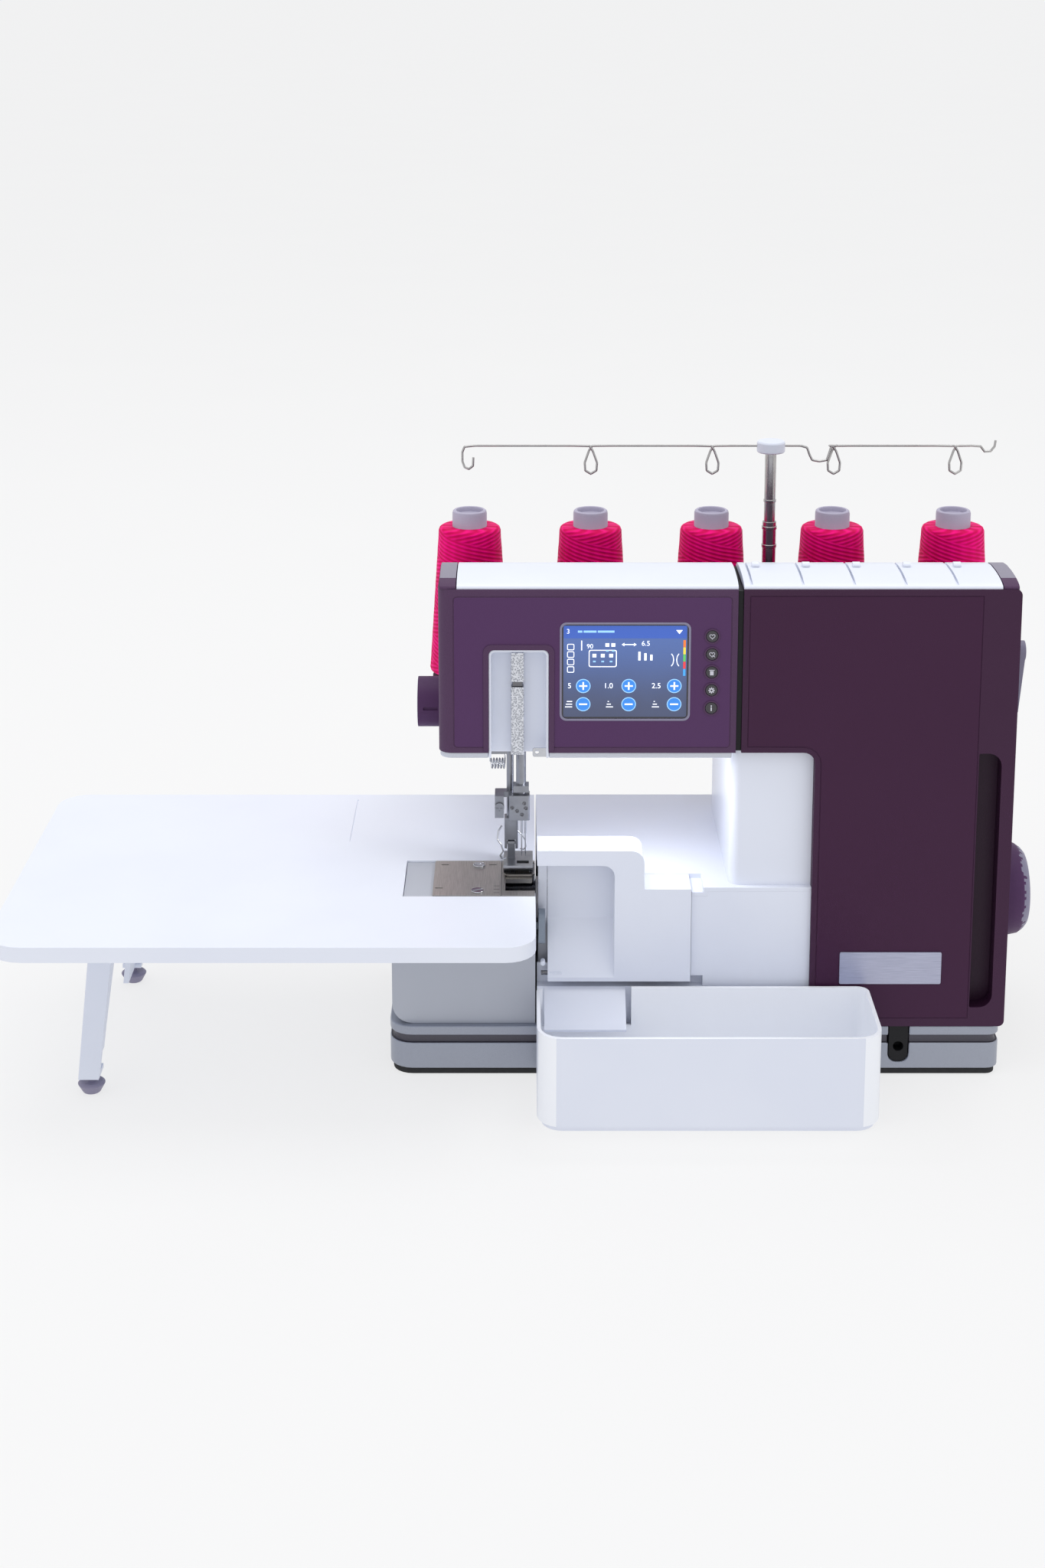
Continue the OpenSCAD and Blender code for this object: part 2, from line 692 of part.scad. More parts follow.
module presser_foot() {
  color([0.8, 0.81, 0.83])
  difference() {
    union() {
      slab_x([
        [24, bed_h + 5.8], [24.6, bed_h + 4.6], [31, bed_h + 1.2], [cut_y1 + 7, bed_h + 1.2],
        [cut_y1 + 9, bed_h + 2.8], [cut_y1 + 9, bed_h + 3.8], [32, bed_h + 3.8], [25.2, bed_h + 7]
      ], -32, -11.6);
      box(presser_x - 1.9, presser_x + 3.3, presser_y - 3, presser_y + 3, bed_h + 3, bed_h + 12);
      rod_x(presser_x - 1.9, presser_x + 3.3, presser_y, bed_h + 14.4, 5.6);
      box(presser_x - 1.9, presser_x + 3.3, presser_y - 2.8, presser_y + 2.8, bed_h + 11, bed_h + 14.4);
    }
    rod_x(presser_x - 4, presser_x + 6, presser_y, bed_h + 14.4, 2 + 2 * fit);
    box(-22.8, -14.4, 37.5, 42.5, bed_h - 1, bed_h + 6);
  }
}

// ---- loopers, knife and feed ---------------------------------------------

module lower_looper() {
  color([0.7, 0.71, 0.73]) {
    rod_y(lower_pivot[0], 45, 68, lower_pivot[1], 8);
    slab_y([[23, bed_h - 46], [29, bed_h - 46], [10, bed_h - 20], [-8, bed_h - 11.4],
      [-8.2, bed_h - 12.4], [5, bed_h - 21]],
      45, 48);
  }
}

module upper_looper() {
  color([0.7, 0.71, 0.73]) {
    rod_y(upper_pivot[0], 33, 68, upper_pivot[1], 8);
    slab_y([[31, bed_h - 57], [37, bed_h - 57], [16, bed_h - 22], [0, bed_h - 10], [-1, bed_h - 10.6],
      [12, bed_h - 25]],
      33, 35.6);
  }
}

module upper_knife() {
  color([0.6, 0.61, 0.64]) {
    box(-9.9, -8.2, 17, 27, bed_h - 34, bed_h - 1.4);
    box(-20, -8.2, 17, 24, bed_h - 34, bed_h - 28);
  }
}

module feed_dogs() {
  color([0.66, 0.67, 0.7]) {
    for (x = dog_x) {
      box(x, x + 2.4, 32.4, cut_y1 - 6, bed_h - 8, plate_z - 1.4);
      for (i = [0 : 5]) box(x, x + 2.4, 33 + 2.1 * i, 34 + 2.1 * i, plate_z - 1.5, plate_z - 0.5);
    }
    box(-31.6, -10.8, 43, cut_y1 - 6, bed_h - 12, bed_h - 8);
  }
}

// ---- knobs, buttons and switch -------------------------------------------

module lifter_lever() {
  color([0.55, 0.55, 0.6]) {
    rod_x(col_x1 - 6, col_x1 + 0.3, lever_y, lever_z, 8);
    rod_x(col_x1 + 0.3, col_x1 + 16, lever_y, lever_z, 14);
    slab_y([[col_x1 + 1, lever_z], [col_x1 + 16, lever_z], [col_x1 + 12.2, lever_z - 43],
      [col_x1 + 1, lever_z - 43]],
      lever_y - 6, lever_y + 6);
  }
}

module pressure_knob() {
  color([0.33, 0.23, 0.35])
  difference() {
    union() {
      rod_x(head_x0 - 0.3, head_x0 + 7, knob_y, knob_z, 8);
      rod_x(head_x0 - 16.3, head_x0 - 0.3, knob_y, knob_z, 35);
    }
    box(head_x0 - 12, head_x0 - 2, knob_y - 19, knob_y - 16.4, knob_z - 1, knob_z + 1);
  }
}

module button(i) {
  color([0.12, 0.1, 0.14])
  rod_y(button_x, -0.6, wall + 3, button_z + i * button_pitch, button_d);
}

module button_1() { button(4); }
module button_2() { button(3); }
module button_3() { button(2); }
module button_4() { button(1); }
module button_5() { button(0); }

module power_switch() {
  color([0.07, 0.07, 0.08]) {
    slab_y([
      [col_x1 - 5.6, switch_z - 5], [col_x1 + 1.6, switch_z - 5.2], [col_x1 + 0.4, switch_z],
      [col_x1 + 1.6, switch_z + 5.2], [col_x1 - 5.6, switch_z + 5]
    ], switch_y - 7.5, switch_y + 7.5);
    rod_y(col_x1 - 2.6, switch_y - 7.9, switch_y + 7.9, switch_z, 2.4);
  }
}

module cutter_knob() {
  color([0.55, 0.56, 0.6]) {
    slab_x(rect(5, 20, bed_h - 43, bed_h - 21, 4), -7.8, -3.2);
    rod_x(-26, -7.8, 12.5, bed_h - 32, 5);
  }
}

// ---- looper cover --------------------------------------------------------

module looper_cover() {
  color([0.93, 0.94, 0.98])
  difference() {
    union() {
      // front skin with the hump's outline
      slab_y(concat(
        [[alcove_x1, cover_z0], [cover_x1, cover_z0], [cover_x1, bed_h]],
        [[hump_x1, bed_h]],
        arc(hump_x1 - 9, hump_z - 9, 9, 0, 90),
        [[bed_x0, hump_z], [bed_x0, alcove_z]],
        arc(alcove_x1 - 8, alcove_z - 8, 8, 90, 0)
      ), 0, 3);
      box(hump_x1 - 3, cover_x1, 0, cover_d, bed_h - 3, bed_h);
      slab_y(concat(
        [[hump_x1 - 3, bed_h - 3], [hump_x1, bed_h - 3]],
        arc(hump_x1 - 9, hump_z - 9, 9, 0, 90),
        [[bed_x0, hump_z], [bed_x0, hump_z - 3]],
        arc(hump_x1 - 9, hump_z - 9, 6, 90, 0)
      ), 0, cover_d);
      slab_y(concat(
        [[bed_x0, alcove_z], [hump_x1, alcove_z - 12]],
        arc(hump_x1 - 9, hump_z - 9, 9, 0, 90),
        [[bed_x0, hump_z]]
      ), cover_d - 3, cover_d);
      // alcove: roof, back wall and the slope that sheds the trimmings
      box(bed_x0, alcove_x1, 0, cover_d - 2.6, alcove_z, alcove_z + 2.6);
      slab_x([
        [cover_d - 5.4, alcove_z + 1], [cover_d - 5.4, bed_h - 30], [0, cover_z0 + 3],
        [0, cover_z0], [2.6, cover_z0], [cover_d - 2.6, bed_h - 31], [cover_d - 2.6, alcove_z + 1]
      ], -1.5, alcove_x1);
      slab_x([
        [0, alcove_z + 2.6], [0, cover_z0], [2.6, cover_z0], [cover_d - 2.6, bed_h - 31],
        [cover_d - 2.6, alcove_z + 2.6]
      ], alcove_x1, alcove_x1 + 2.6);
      for (x = [0, 80]) {
        rod_x(x, x + 8, hinge_y, hinge_z, 6.4);
        box(x, x + 8, 1, hinge_y, cover_z0 + 1.5, hinge_z + 3);
      }
    }
    rod_x(-8, 96, hinge_y, hinge_z, hinge_d + 2 * fit);
  }
}

module cover_hinge_rod() {
  color([0.7, 0.71, 0.73])
  rod_x(-6, 88, hinge_y, hinge_z, hinge_d);
}

// ---- trim bin ------------------------------------------------------------

module trim_bin() {
  color([0.93, 0.94, 0.98])
  difference() {
    union() {
      slab_z(rect(bin_x0 + 3, bin_x1 - 3, bin_y0 + 3, bin_y1 - 1, 14), 0, 4);
      slab_z(rect4(bin_x0, bin_x1, bin_y0, bin_y1, 17, 17, 8, 8), 4, bin_z1);
    }
    slab_z(rect4(bin_x0 + 2.5, bin_x1 - 2.5, bin_y0 + 2.5, bin_y1 - 2.5, 14.5, 14.5, 5.5, 5.5), 3,
      bin_z1 + 1);
    box(bin_x0 + 1, 56, bin_y1 - 4, bin_y1 + 1, base_h + 3, bin_z1 + 1);
  }
}

// ---- extension table -----------------------------------------------------

function table_outline(e) = concat(
  arc(table_x0 + 26, table_y0 + 26, 26 - e, 180, 270),
  arc(table_x1 - 20, table_y0 + 20, 20 - e, 270, 360),
  [[table_x1 - e, cut_y0 - e], [cut_x0 - e, cut_y0 - e]],
  [[cut_x0 - e, cut_y1 + e], [table_x1 - e, cut_y1 + e]],
  [[table_x1 - e, table_y1 - e]],
  arc(table_x0 + 22, table_y1 - 22, 22 - e, 90, 180)
);

module table_top() {
  color([0.94, 0.95, 0.98])
  difference() {
    union() {
      difference() {
        slab_z(table_outline(0), bed_h - table_rim, bed_h);
        slab_z(table_outline(2.6), bed_h - table_rim - 1, bed_h - wall);
      }
      // ribs under the top
      for (y = [table_y0 + 40, table_y1 - 12])
        box(table_x0 + 30, table_x1 - 2, y, y + 2.4, bed_h - 9, bed_h - 2);
      for (x = [-240, -180, -130])
        box(x, x + 2.4, table_y0 + 2, table_y1 - 2, bed_h - 9, bed_h - 2);
      // hinge lugs of the leg frame
      for (y = [leg_y0 - 6.5, leg_y1 + 0.5])
        box(leg_x - 5, leg_x + 5, y, y + 6, leg_z - 4, bed_h - 2);
    }
    rod_y(leg_x, leg_y0 - 10, leg_y1 + 10, leg_z, 4 + 2 * fit);
    box(-143.4, -142.6, 89, table_y1 - 11, bed_h - 0.8, bed_h + 1);
  }
}

foot_h = 9.5;
foot_d = 19;
leg_end = 13.5;
lean = 12;
foot_y0 = leg_y0 + 11;
foot_y1 = leg_y1 - 9;

module leg_frame() {
  color([0.9, 0.92, 0.96])
  difference() {
    union() {
      // web with an arch between its two feet
      difference() {
        slab_y([
          [leg_x - 2, leg_z], [leg_x + 3, leg_z], [leg_x + 1 - lean, leg_end], [leg_x - 3 - lean, leg_end]
        ], leg_y0, leg_y1);
        slab_x(concat(
          [[leg_y0 + 50, leg_end - 1], [leg_y0 + 50, leg_end + 16]],
          arc(leg_y0 + 72, leg_z - 40, 14, 180, 90),
          arc(leg_y1 - 66, leg_z - 40, 14, 90, 0),
          [[leg_y1 - 44, leg_end + 16], [leg_y1 - 44, leg_end - 1]]
        ), leg_x - 40, leg_x + 20);
      }
      // stiff bars at the front and the back of the web
      for (y = [leg_y0, leg_y1 - 5])
        slab_y([
          [leg_x - 8, leg_z], [leg_x + 8, leg_z], [leg_x + 6 - lean, leg_end], [leg_x - 8 - lean, leg_end]
        ], y, y + 5);
      for (y = [foot_y0, foot_y1])
        box(leg_x - 8 - lean, leg_x + 6 - lean, y - 8, y + 8, leg_end, leg_end + 3);
      rod_y(leg_x, leg_y0, leg_y1, leg_z, 9);
      rod_y(leg_x, leg_y0 - 7, leg_y1 + 7, leg_z, 4);
    }
    for (y = [foot_y0, foot_y1]) rod_z(leg_x - 1 - lean, y, leg_end - 1, leg_end + 9, 5 + 2 * fit);
  }
}

module level_foot(y) {
  color([0.5, 0.5, 0.55]) {
    translate([leg_x - 1 - lean, y, 0]) {
      cylinder(h = foot_h - 3, d1 = foot_d * 0.62, d2 = foot_d, $fn = fine);
      translate([0, 0, foot_h - 3]) cylinder(h = 1.6, d1 = foot_d, d2 = foot_d * 0.8, $fn = fine);
      translate([0, 0, foot_h - 1.5]) cylinder(h = 11, d = 5, $fn = fine);
    }
  }
}

module foot_front() { level_foot(foot_y0); }
module foot_back() { level_foot(foot_y1); }

// ---- spool stand ---------------------------------------------------------

module spool_tray() {
  color([0.3, 0.2, 0.32])
  union() {
    slab_z(rect(cone_x0 - 12, cone_x0 + 4 * cone_pitch + 12, cone_y - 12, cone_y + 12, 11), tray_z - 6,
      tray_z);
    for (i = [0 : 4]) {
      rod_z(cone_x0 + i * cone_pitch, cone_y, tray_z - 6, tray_z + 3, cone_d - 4);
      rod_z(cone_x0 + i * cone_pitch, cone_y, tray_z, cone_z + 70, pin_d);
    }
    for (x = [mast_x - 40, mast_x + 40])
      box(x - 9, x + 9, body_d + 3, cone_y, tray_z - 6, tray_z);
    box(mast_x - 49, max(mast_x + 49, col_x0 + 37), body_d + 3, body_d + 7, tray_z - 24, tray_z);
    rod_z(mast_x, cone_y, tray_z - 6, tray_z + 8, mast_d + 7);
  }
}

module mast_lower() {
  color([0.7, 0.7, 0.7])
  difference() {
    union() {
      rod_z(mast_x, cone_y, tray_z + 8, guide_h - 58, mast_d);
      for (z = [guide_h - 78, guide_h - 64]) rod_z(mast_x, cone_y, z, z + 2.4, mast_d + 1);
    }
    rod_z(mast_x, cone_y, tray_z + 20, guide_h, mast_d - 1.9 + 2 * fit);
  }
}

module mast_upper() {
  color([0.74, 0.74, 0.74]) {
    rod_z(mast_x, cone_y, tray_z + 42, mast_top, mast_d - 1.9);
    rod_z(mast_x, cone_y, guide_h - 43, guide_h - 41, mast_d - 0.9);
  }
}

wire_d = 1.8;

// one thread eye: a teardrop of wire hanging under the bar at x
module eye(x) {
  for (s = [-1, 1])
    translate([x, cone_y, guide_h]) rotate([0, s * 17, 0]) rod_z(0, 0, -15, 0, wire_d);
  translate([x, cone_y, guide_h - 17]) rotate([90, 0, 0]) rotate_extrude($fn = 36)
    translate([5, 0]) circle(d = wire_d, $fn = 16);
}

module guide_wire() {
  color([0.72, 0.72, 0.72]) {
    rod_x(cone_x0 - 6, mast_x + 29, cone_y, guide_h, wire_d);
    rod_x(mast_x + 44, cone_x0 + 4 * cone_pitch + 24, cone_y, guide_h, wire_d);
    for (x = [mast_x + 29, mast_x + 44]) rod_z(x, cone_y, guide_h - 12, guide_h + 0.9, wire_d);
    rod_x(mast_x + 29, mast_x + 44, cone_y, guide_h - 12, wire_d);
    for (i = [1 : 4]) eye(cone_x0 + i * cone_pitch);
    // closed loop at the left end
    for (x = [cone_x0 - 6, cone_x0 + 3]) rod_z(x, cone_y, guide_h - 18, guide_h + 0.9, wire_d);
    rod_x(cone_x0 - 6, cone_x0 + 3, cone_y, guide_h - 18, wire_d);
    translate([cone_x0 + 4 * cone_pitch + 24, cone_y, guide_h]) rotate([0, 48, 0]) rod_z(0, 0, -0.5, 8,
      wire_d);
  }
  color([0.92, 0.93, 0.95])
  difference() {
    rod_z(mast_x, cone_y, guide_h - 5, guide_h + 4, 21);
    rod_z(mast_x, cone_y, guide_h - 6, mast_top + 0.1, mast_d - 1.9 + 2 * fit);
  }
}

module cone(i) {
  translate([cone_x0 + i * cone_pitch, cone_y, cone_z]) {
    color([0.88, 0, 0.5])
    rotate_extrude($fn = fine)
    polygon([
      [tube_d / 2 + 2.6, 4], [cone_d / 2 - 1, 4], [cone_d / 2, 6], [cone_d / 2 - 7, cone_h - 3],
      [cone_d / 2 - 9, cone_h], [tube_d / 2 + 0.05, cone_h]
    ]);
    color([0.68, 0.67, 0.74])
    rotate_extrude($fn = fine)
    polygon([
      [pin_d / 2 + 3, 0], [tube_d / 2 + 4.6, 0], [tube_d / 2 + 2.5, 4], [tube_d / 2 - 0.05, cone_h],
      [tube_d / 2, cone_h + 11],
      [tube_d / 2 - 1.2, cone_h + 12.5], [tube_d / 2 - 3, cone_h + 12.5], [tube_d / 2 - 3, cone_h + 9],
      [pin_d / 2 + fit, cone_h + 6], [pin_d / 2 + fit, 60], [pin_d / 2 + 3, 57]
    ]);
  }
}

module cone_1() { cone(0); }
module cone_2() { cone(1); }
module cone_3() { cone(2); }
module cone_4() { cone(3); }
module cone_5() { cone(4); }

// ---- what is drawn -------------------------------------------------------

place() rubber_sole();
place() base_pan();
place() knee_socket();
place() cast_frame();
place() column_shell();
place() head_shell();
place() rear_cover();
place() seam_strip();
place() arm_underside();
place() top_bar();
place() pillar();
place() bed_cover();
place() front_panel();
place() free_arm();
place() cloth_plate();
place() plate_screws();
place() stitch_plate();
place() needle_recess();
place() needle_strip();
place() touch_screen();
place() blank_plate();
place() motor();
place() drive_belt();
place() power_inlet();
place() spool_tray();
place() mast_lower();
place() handwheel();
place() main_shaft();
place() motor_rotor();
place() needle_bar();
place() needles();
place() upper_looper();
place() lower_looper();
place() upper_knife();
place() feed_dogs();
place() presser_bar();
place() presser_foot();
place() lifter_lever();
place() pressure_knob();
place() looper_cover();
place() cover_hinge_rod();
place() trim_bin();
place() table_top();
place() leg_frame();
place() foot_front();
place() foot_back();
place() mast_upper();
place() guide_wire();
place() cone_1();
place() cone_2();
place() cone_3();
place() cone_4();
place() cone_5();
place() button_1();
place() button_2();
place() button_3();
place() button_4();
place() button_5();
place() power_switch();
place() cutter_knob();
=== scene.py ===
import json
import math
import bmesh
import bpy
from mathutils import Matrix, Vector

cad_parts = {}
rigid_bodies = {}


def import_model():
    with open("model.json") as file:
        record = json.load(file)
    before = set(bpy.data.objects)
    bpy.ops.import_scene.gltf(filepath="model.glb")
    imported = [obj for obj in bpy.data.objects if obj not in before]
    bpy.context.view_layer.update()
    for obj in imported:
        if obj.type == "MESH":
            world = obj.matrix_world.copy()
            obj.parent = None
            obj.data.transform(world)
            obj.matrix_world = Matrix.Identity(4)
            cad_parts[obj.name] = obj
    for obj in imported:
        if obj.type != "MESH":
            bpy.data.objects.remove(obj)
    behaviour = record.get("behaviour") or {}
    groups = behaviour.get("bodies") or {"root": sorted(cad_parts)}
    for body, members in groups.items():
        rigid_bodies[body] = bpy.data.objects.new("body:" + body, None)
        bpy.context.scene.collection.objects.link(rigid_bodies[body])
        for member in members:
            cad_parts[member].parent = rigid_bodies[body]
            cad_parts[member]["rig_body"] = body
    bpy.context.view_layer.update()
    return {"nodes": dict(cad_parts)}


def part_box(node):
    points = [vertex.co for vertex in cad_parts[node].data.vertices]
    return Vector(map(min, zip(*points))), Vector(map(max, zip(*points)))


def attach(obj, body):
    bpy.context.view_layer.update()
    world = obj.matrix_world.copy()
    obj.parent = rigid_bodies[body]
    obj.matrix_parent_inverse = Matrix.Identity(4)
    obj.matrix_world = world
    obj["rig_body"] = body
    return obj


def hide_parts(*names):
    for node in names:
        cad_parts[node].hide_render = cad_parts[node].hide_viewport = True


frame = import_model()
nodes = frame["nodes"]

# ---------------------------------------------------------------- places
# The machine's own coordinates are millimetres: X from the needle area to the right,
# Y from the front plane to the back, Z from the floor.

head_low, head_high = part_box("head_shell")
ORIGIN = Vector((head_low.x + 0.0753, head_low.y, 0))


def at(x, y, z):
    return ORIGIN + Vector((x, y, z)) / 1000


def mm(value):
    return value / 1000


# ---------------------------------------------------------------- camera

def aim_camera():
    data = bpy.data.cameras.new("camera")
    data.sensor_width = 36
    data.lens = 53.35
    data.shift_y = -0.22
    data.clip_start, data.clip_end = 0.05, 60
    camera = bpy.data.objects.new("camera", data)
    bpy.context.scene.collection.objects.link(camera)
    camera.location = at(-18.8, -1492.6, 756.7)
    camera.rotation_euler = (math.radians(90 - 11.58), 0, 0)
    bpy.context.scene.camera = camera


aim_camera()
bpy.context.scene.view_settings.view_transform = "Standard"

# ---------------------------------------------------------------- shader expressions


class Value:
    """A socket that does arithmetic: an expression on values adds its Math nodes."""

    def __init__(self, look, socket):
        self.look, self.socket = look, socket

    def math(self, operation, *others):
        return self.look.node("ShaderNodeMath", {"operation": operation}, dict(enumerate((self, *others))))

    def __add__(self, other):
        return self.math("ADD", other)

    def __mul__(self, other):
        return self.math("MULTIPLY", other)

    def __sub__(self, other):
        return self.math("SUBTRACT", other)

    def __rsub__(self, other):
        return self.look.node("ShaderNodeMath", {"operation": "SUBTRACT"}, {0: other, 1: self})

    def __truediv__(self, other):
        return self.math("DIVIDE", other)

    def wave(self):
        return self.math("SINE")

    def between(self, low, high):
        """0 below low, 1 above high and smooth from one to the other."""
        return self.look.node("ShaderNodeMapRange", {"interpolation_type": "SMOOTHSTEP"},
                              {"Value": self, "From Min": low, "From Max": high})

    __radd__ = __add__
    __rmul__ = __mul__


class Look:
    """One material: a principled shader whose sockets take numbers or values."""

    def __init__(self, name, **constants):
        self.material = bpy.data.materials.new(name)
        self.material.use_nodes = True
        self.tree = self.material.node_tree
        self.tree.nodes.clear()
        self.shader = self.tree.nodes.new("ShaderNodeBsdfPrincipled")
        output = self.tree.nodes.new("ShaderNodeOutputMaterial")
        self.tree.links.new(self.shader.outputs[0], output.inputs["Surface"])
        for socket, constant in constants.items():
            self.shader.inputs[socket.replace("_", " ")].default_value = constant
        self.place = self.node("ShaderNodeTexCoord", {}, {}, "Object")
        self.x, self.y, self.z = self.parts(self.place)

    def node(self, kind, settings, inputs, output=0):
        made = self.tree.nodes.new(kind)
        for setting, value in settings.items():
            setattr(made, setting, value)
        for socket, value in inputs.items():
            if isinstance(value, Value):
                self.tree.links.new(value.socket, made.inputs[socket])
            else:
                made.inputs[socket].default_value = value
        return Value(self, made.outputs[output])

    def parts(self, place):
        return (self.node("ShaderNodeSeparateXYZ", {}, {0: place}, axis) for axis in "XYZ")

    def feed(self, socket, value):
        self.tree.links.new(value.socket, self.shader.inputs[socket])

    def noise(self, scale, detail=3, roughness=0.55, place=None):
        inputs = {"Vector": place or self.place, "Scale": scale, "Detail": detail, "Roughness": roughness}
        return self.node("ShaderNodeTexNoise", {}, inputs)

    def cells(self, scale):
        return self.node("ShaderNodeTexVoronoi", {}, {"Vector": self.place, "Scale": scale}, "Distance")

    def stretched(self, x, y, z):
        return self.node("ShaderNodeMapping", {}, {"Vector": self.place, "Scale": (x, y, z)})

    def mix(self, first, second, share):
        return self.node("ShaderNodeMix", {"data_type": "RGBA"}, {0: share, 6: first, 7: second}, 2)

    def bump(self, height, depth, strength=1.0, under=None):
        inputs = {"Height": height, "Distance": depth, "Strength": strength}
        if under:
            inputs["Normal"] = under
        return self.node("ShaderNodeBump", {}, inputs)


def paint(red, green, blue, alpha=1.0):
    """A colour given in 0 to 255 display values."""
    def linear(level):
        level = level / 255
        return level / 12.92 if level <= 0.04045 else ((level + 0.055) / 1.055) ** 2.4
    return (linear(red), linear(green), linear(blue), alpha)


# ---------------------------------------------------------------- finishes

def grained_plastic(name, colour, lighter, rough, grain=2600, depth=0.00004):
    """Moulded plastic with a fine spark grain."""
    look = Look(name, Specular_IOR_Level=0.28)
    cloud = look.noise(9, 2)
    grains = look.cells(grain)
    look.feed("Base Color", look.mix(colour, lighter, cloud * 0.5 + grains * 0.35))
    look.feed("Roughness", rough + look.noise(60, 4) * 0.08 + grains * 0.06)
    look.feed("Normal", look.bump(grains + look.noise(900, 2) * 0.6, depth))
    return look.material


def smooth_plastic(name, colour, shade, rough, coat=0.25):
    """Smooth moulded plastic with a very slight ripple and faint handling marks."""
    look = Look(name, Specular_IOR_Level=0.5, Coat_Weight=coat, Coat_Roughness=0.18)
    cloud = look.noise(7, 3)
    look.feed("Base Color", look.mix(colour, shade, cloud.between(0.35, 0.75) * 0.6))
    look.feed("Roughness", rough + look.noise(35, 5) * 0.1)
    look.feed("Normal", look.bump(look.noise(48, 2) + look.noise(1500, 2) * 0.12, 0.00012, 0.35))
    return look.material


def metallic_plastic(name, colour, flake, rough):
    """Silver lacquer with fine metal flakes."""
    look = Look(name, Metallic=0.55, Coat_Weight=0.3, Coat_Roughness=0.2)
    flakes = look.cells(5200)
    look.feed("Base Color", look.mix(colour, flake, flakes.between(0.1, 0.6)))
    look.feed("Roughness", rough + flakes * 0.12 + look.noise(40, 3) * 0.06)
    look.feed("Normal", look.bump(flakes, 0.00002))
    return look.material


def brushed_metal(name, colour, dark, rough, along="x"):
    """Steel with a directional brushing."""
    look = Look(name, Metallic=1.0)
    stretch = {"x": (1, 90, 90), "y": (90, 1, 90), "z": (90, 90, 1)}[along]
    lines = look.noise(55, 6, 0.7, look.stretched(*stretch))
    look.feed("Base Color", look.mix(dark, colour, lines.between(0.25, 0.7)))
    look.feed("Roughness", rough + lines * 0.18)
    look.feed("Normal", look.bump(lines, 0.00003, 0.5))
    return look.material


def bright_metal(name, colour, rough):
    """Polished and plated steel with faint wear."""
    look = Look(name, Metallic=1.0)
    wear = look.noise(140, 5)
    look.feed("Base Color", look.mix(colour, (colour[0] * 0.8, colour[1] * 0.8, colour[2] * 0.82, 1), wear))
    look.feed("Roughness", rough + wear.between(0.4, 0.8) * 0.12)
    look.feed("Normal", look.bump(look.noise(700, 3), 0.000015, 0.4))
    return look.material


def hammered_metal(name):
    """Aluminium strip with a fine pearl texture."""
    look = Look(name, Metallic=0.9)
    pearls = look.cells(900)
    shine = pearls.between(0.15, 0.75)
    look.feed("Base Color", look.mix(paint(150, 153, 162), paint(226, 228, 234), shine))
    look.feed("Roughness", 0.28 + pearls * 0.2)
    look.feed("Normal", look.bump(pearls, 0.00025, 0.8))
    return look.material


def rubber(name, colour):
    look = Look(name, Roughness=0.8, Specular_IOR_Level=0.3)
    dust = look.noise(300, 4)
    look.feed("Base Color", look.mix(colour, (0.035, 0.035, 0.037, 1), dust))
    look.feed("Normal", look.bump(dust, 0.0001, 0.5))
    return look.material


def wound_thread(name):
    """Cross-wound thread: two sets of helices that follow the cone's own map."""
    look = Look(name, Sheen_Weight=0.02, Sheen_Roughness=0.4, Specular_IOR_Level=0.1)
    wrap = look.node("ShaderNodeUVMap", {"uv_map": "winding"}, {})
    turn, rise, _ = look.parts(wrap)
    waver = look.noise(60, 3) * 1.6
    strand = 2 * math.pi
    up = ((rise * 330 + turn * 13) * strand + waver).wave()
    down = ((rise * 330 - turn * 11) * strand + waver).wave()
    layers = ((rise * 24 + turn) * strand + look.noise(14, 2) * 2).wave().between(-0.25, 0.25)
    strands = up * layers + down * (1 - layers)
    diamond = ((rise * 26 + turn * 9) * strand).wave() * ((rise * 26 - turn * 9) * strand).wave()
    tone = strands * 0.26 + diamond * 0.14 + look.noise(38, 4) * 0.5
    look.feed("Base Color", look.mix(paint(206, 0, 84), paint(255, 0, 136), tone.between(-0.1, 0.75)))
    look.feed("Roughness", 0.62 - strands * 0.1)
    look.feed("Normal", look.bump(strands + diamond * 0.5, 0.00022, 0.8))
    return look.material


def cast_alloy(name):
    look = Look(name, Metallic=0.8)
    pits = look.noise(420, 6)
    look.feed("Base Color", look.mix(paint(120, 122, 126), paint(172, 174, 178), pits))
    look.feed("Roughness", 0.5 + pits * 0.2)
    look.feed("Normal", look.bump(pits, 0.0002, 0.6))
    return look.material


def glowing(name, colour, strength):
    look = Look(name, Roughness=0.35, Base_Color=colour, Emission_Color=colour, Emission_Strength=strength)
    look.feed("Roughness", 0.3 + look.noise(200, 2) * 0.1)
    return look.material


def screen_picture(name, low, high):
    """The display's backlit ground: brighter and bluer at the top, with a fine pixel grid."""
    look = Look(name, Roughness=0.12, Emission_Strength=0.55, Coat_Weight=0.6, Coat_Roughness=0.05)
    height = (look.z - low.z) / (high.z - low.z)
    ground = look.mix(paint(52, 58, 84), paint(66, 92, 150), height.between(0.05, 0.95))
    grid = ((look.x * 9000).wave() * (look.z * 9000).wave()) * 0.04 + look.noise(30, 2) * 0.1
    picture = look.mix(ground, paint(96, 130, 190), grid)
    look.feed("Base Color", picture)
    look.feed("Emission Color", picture)
    return look.material


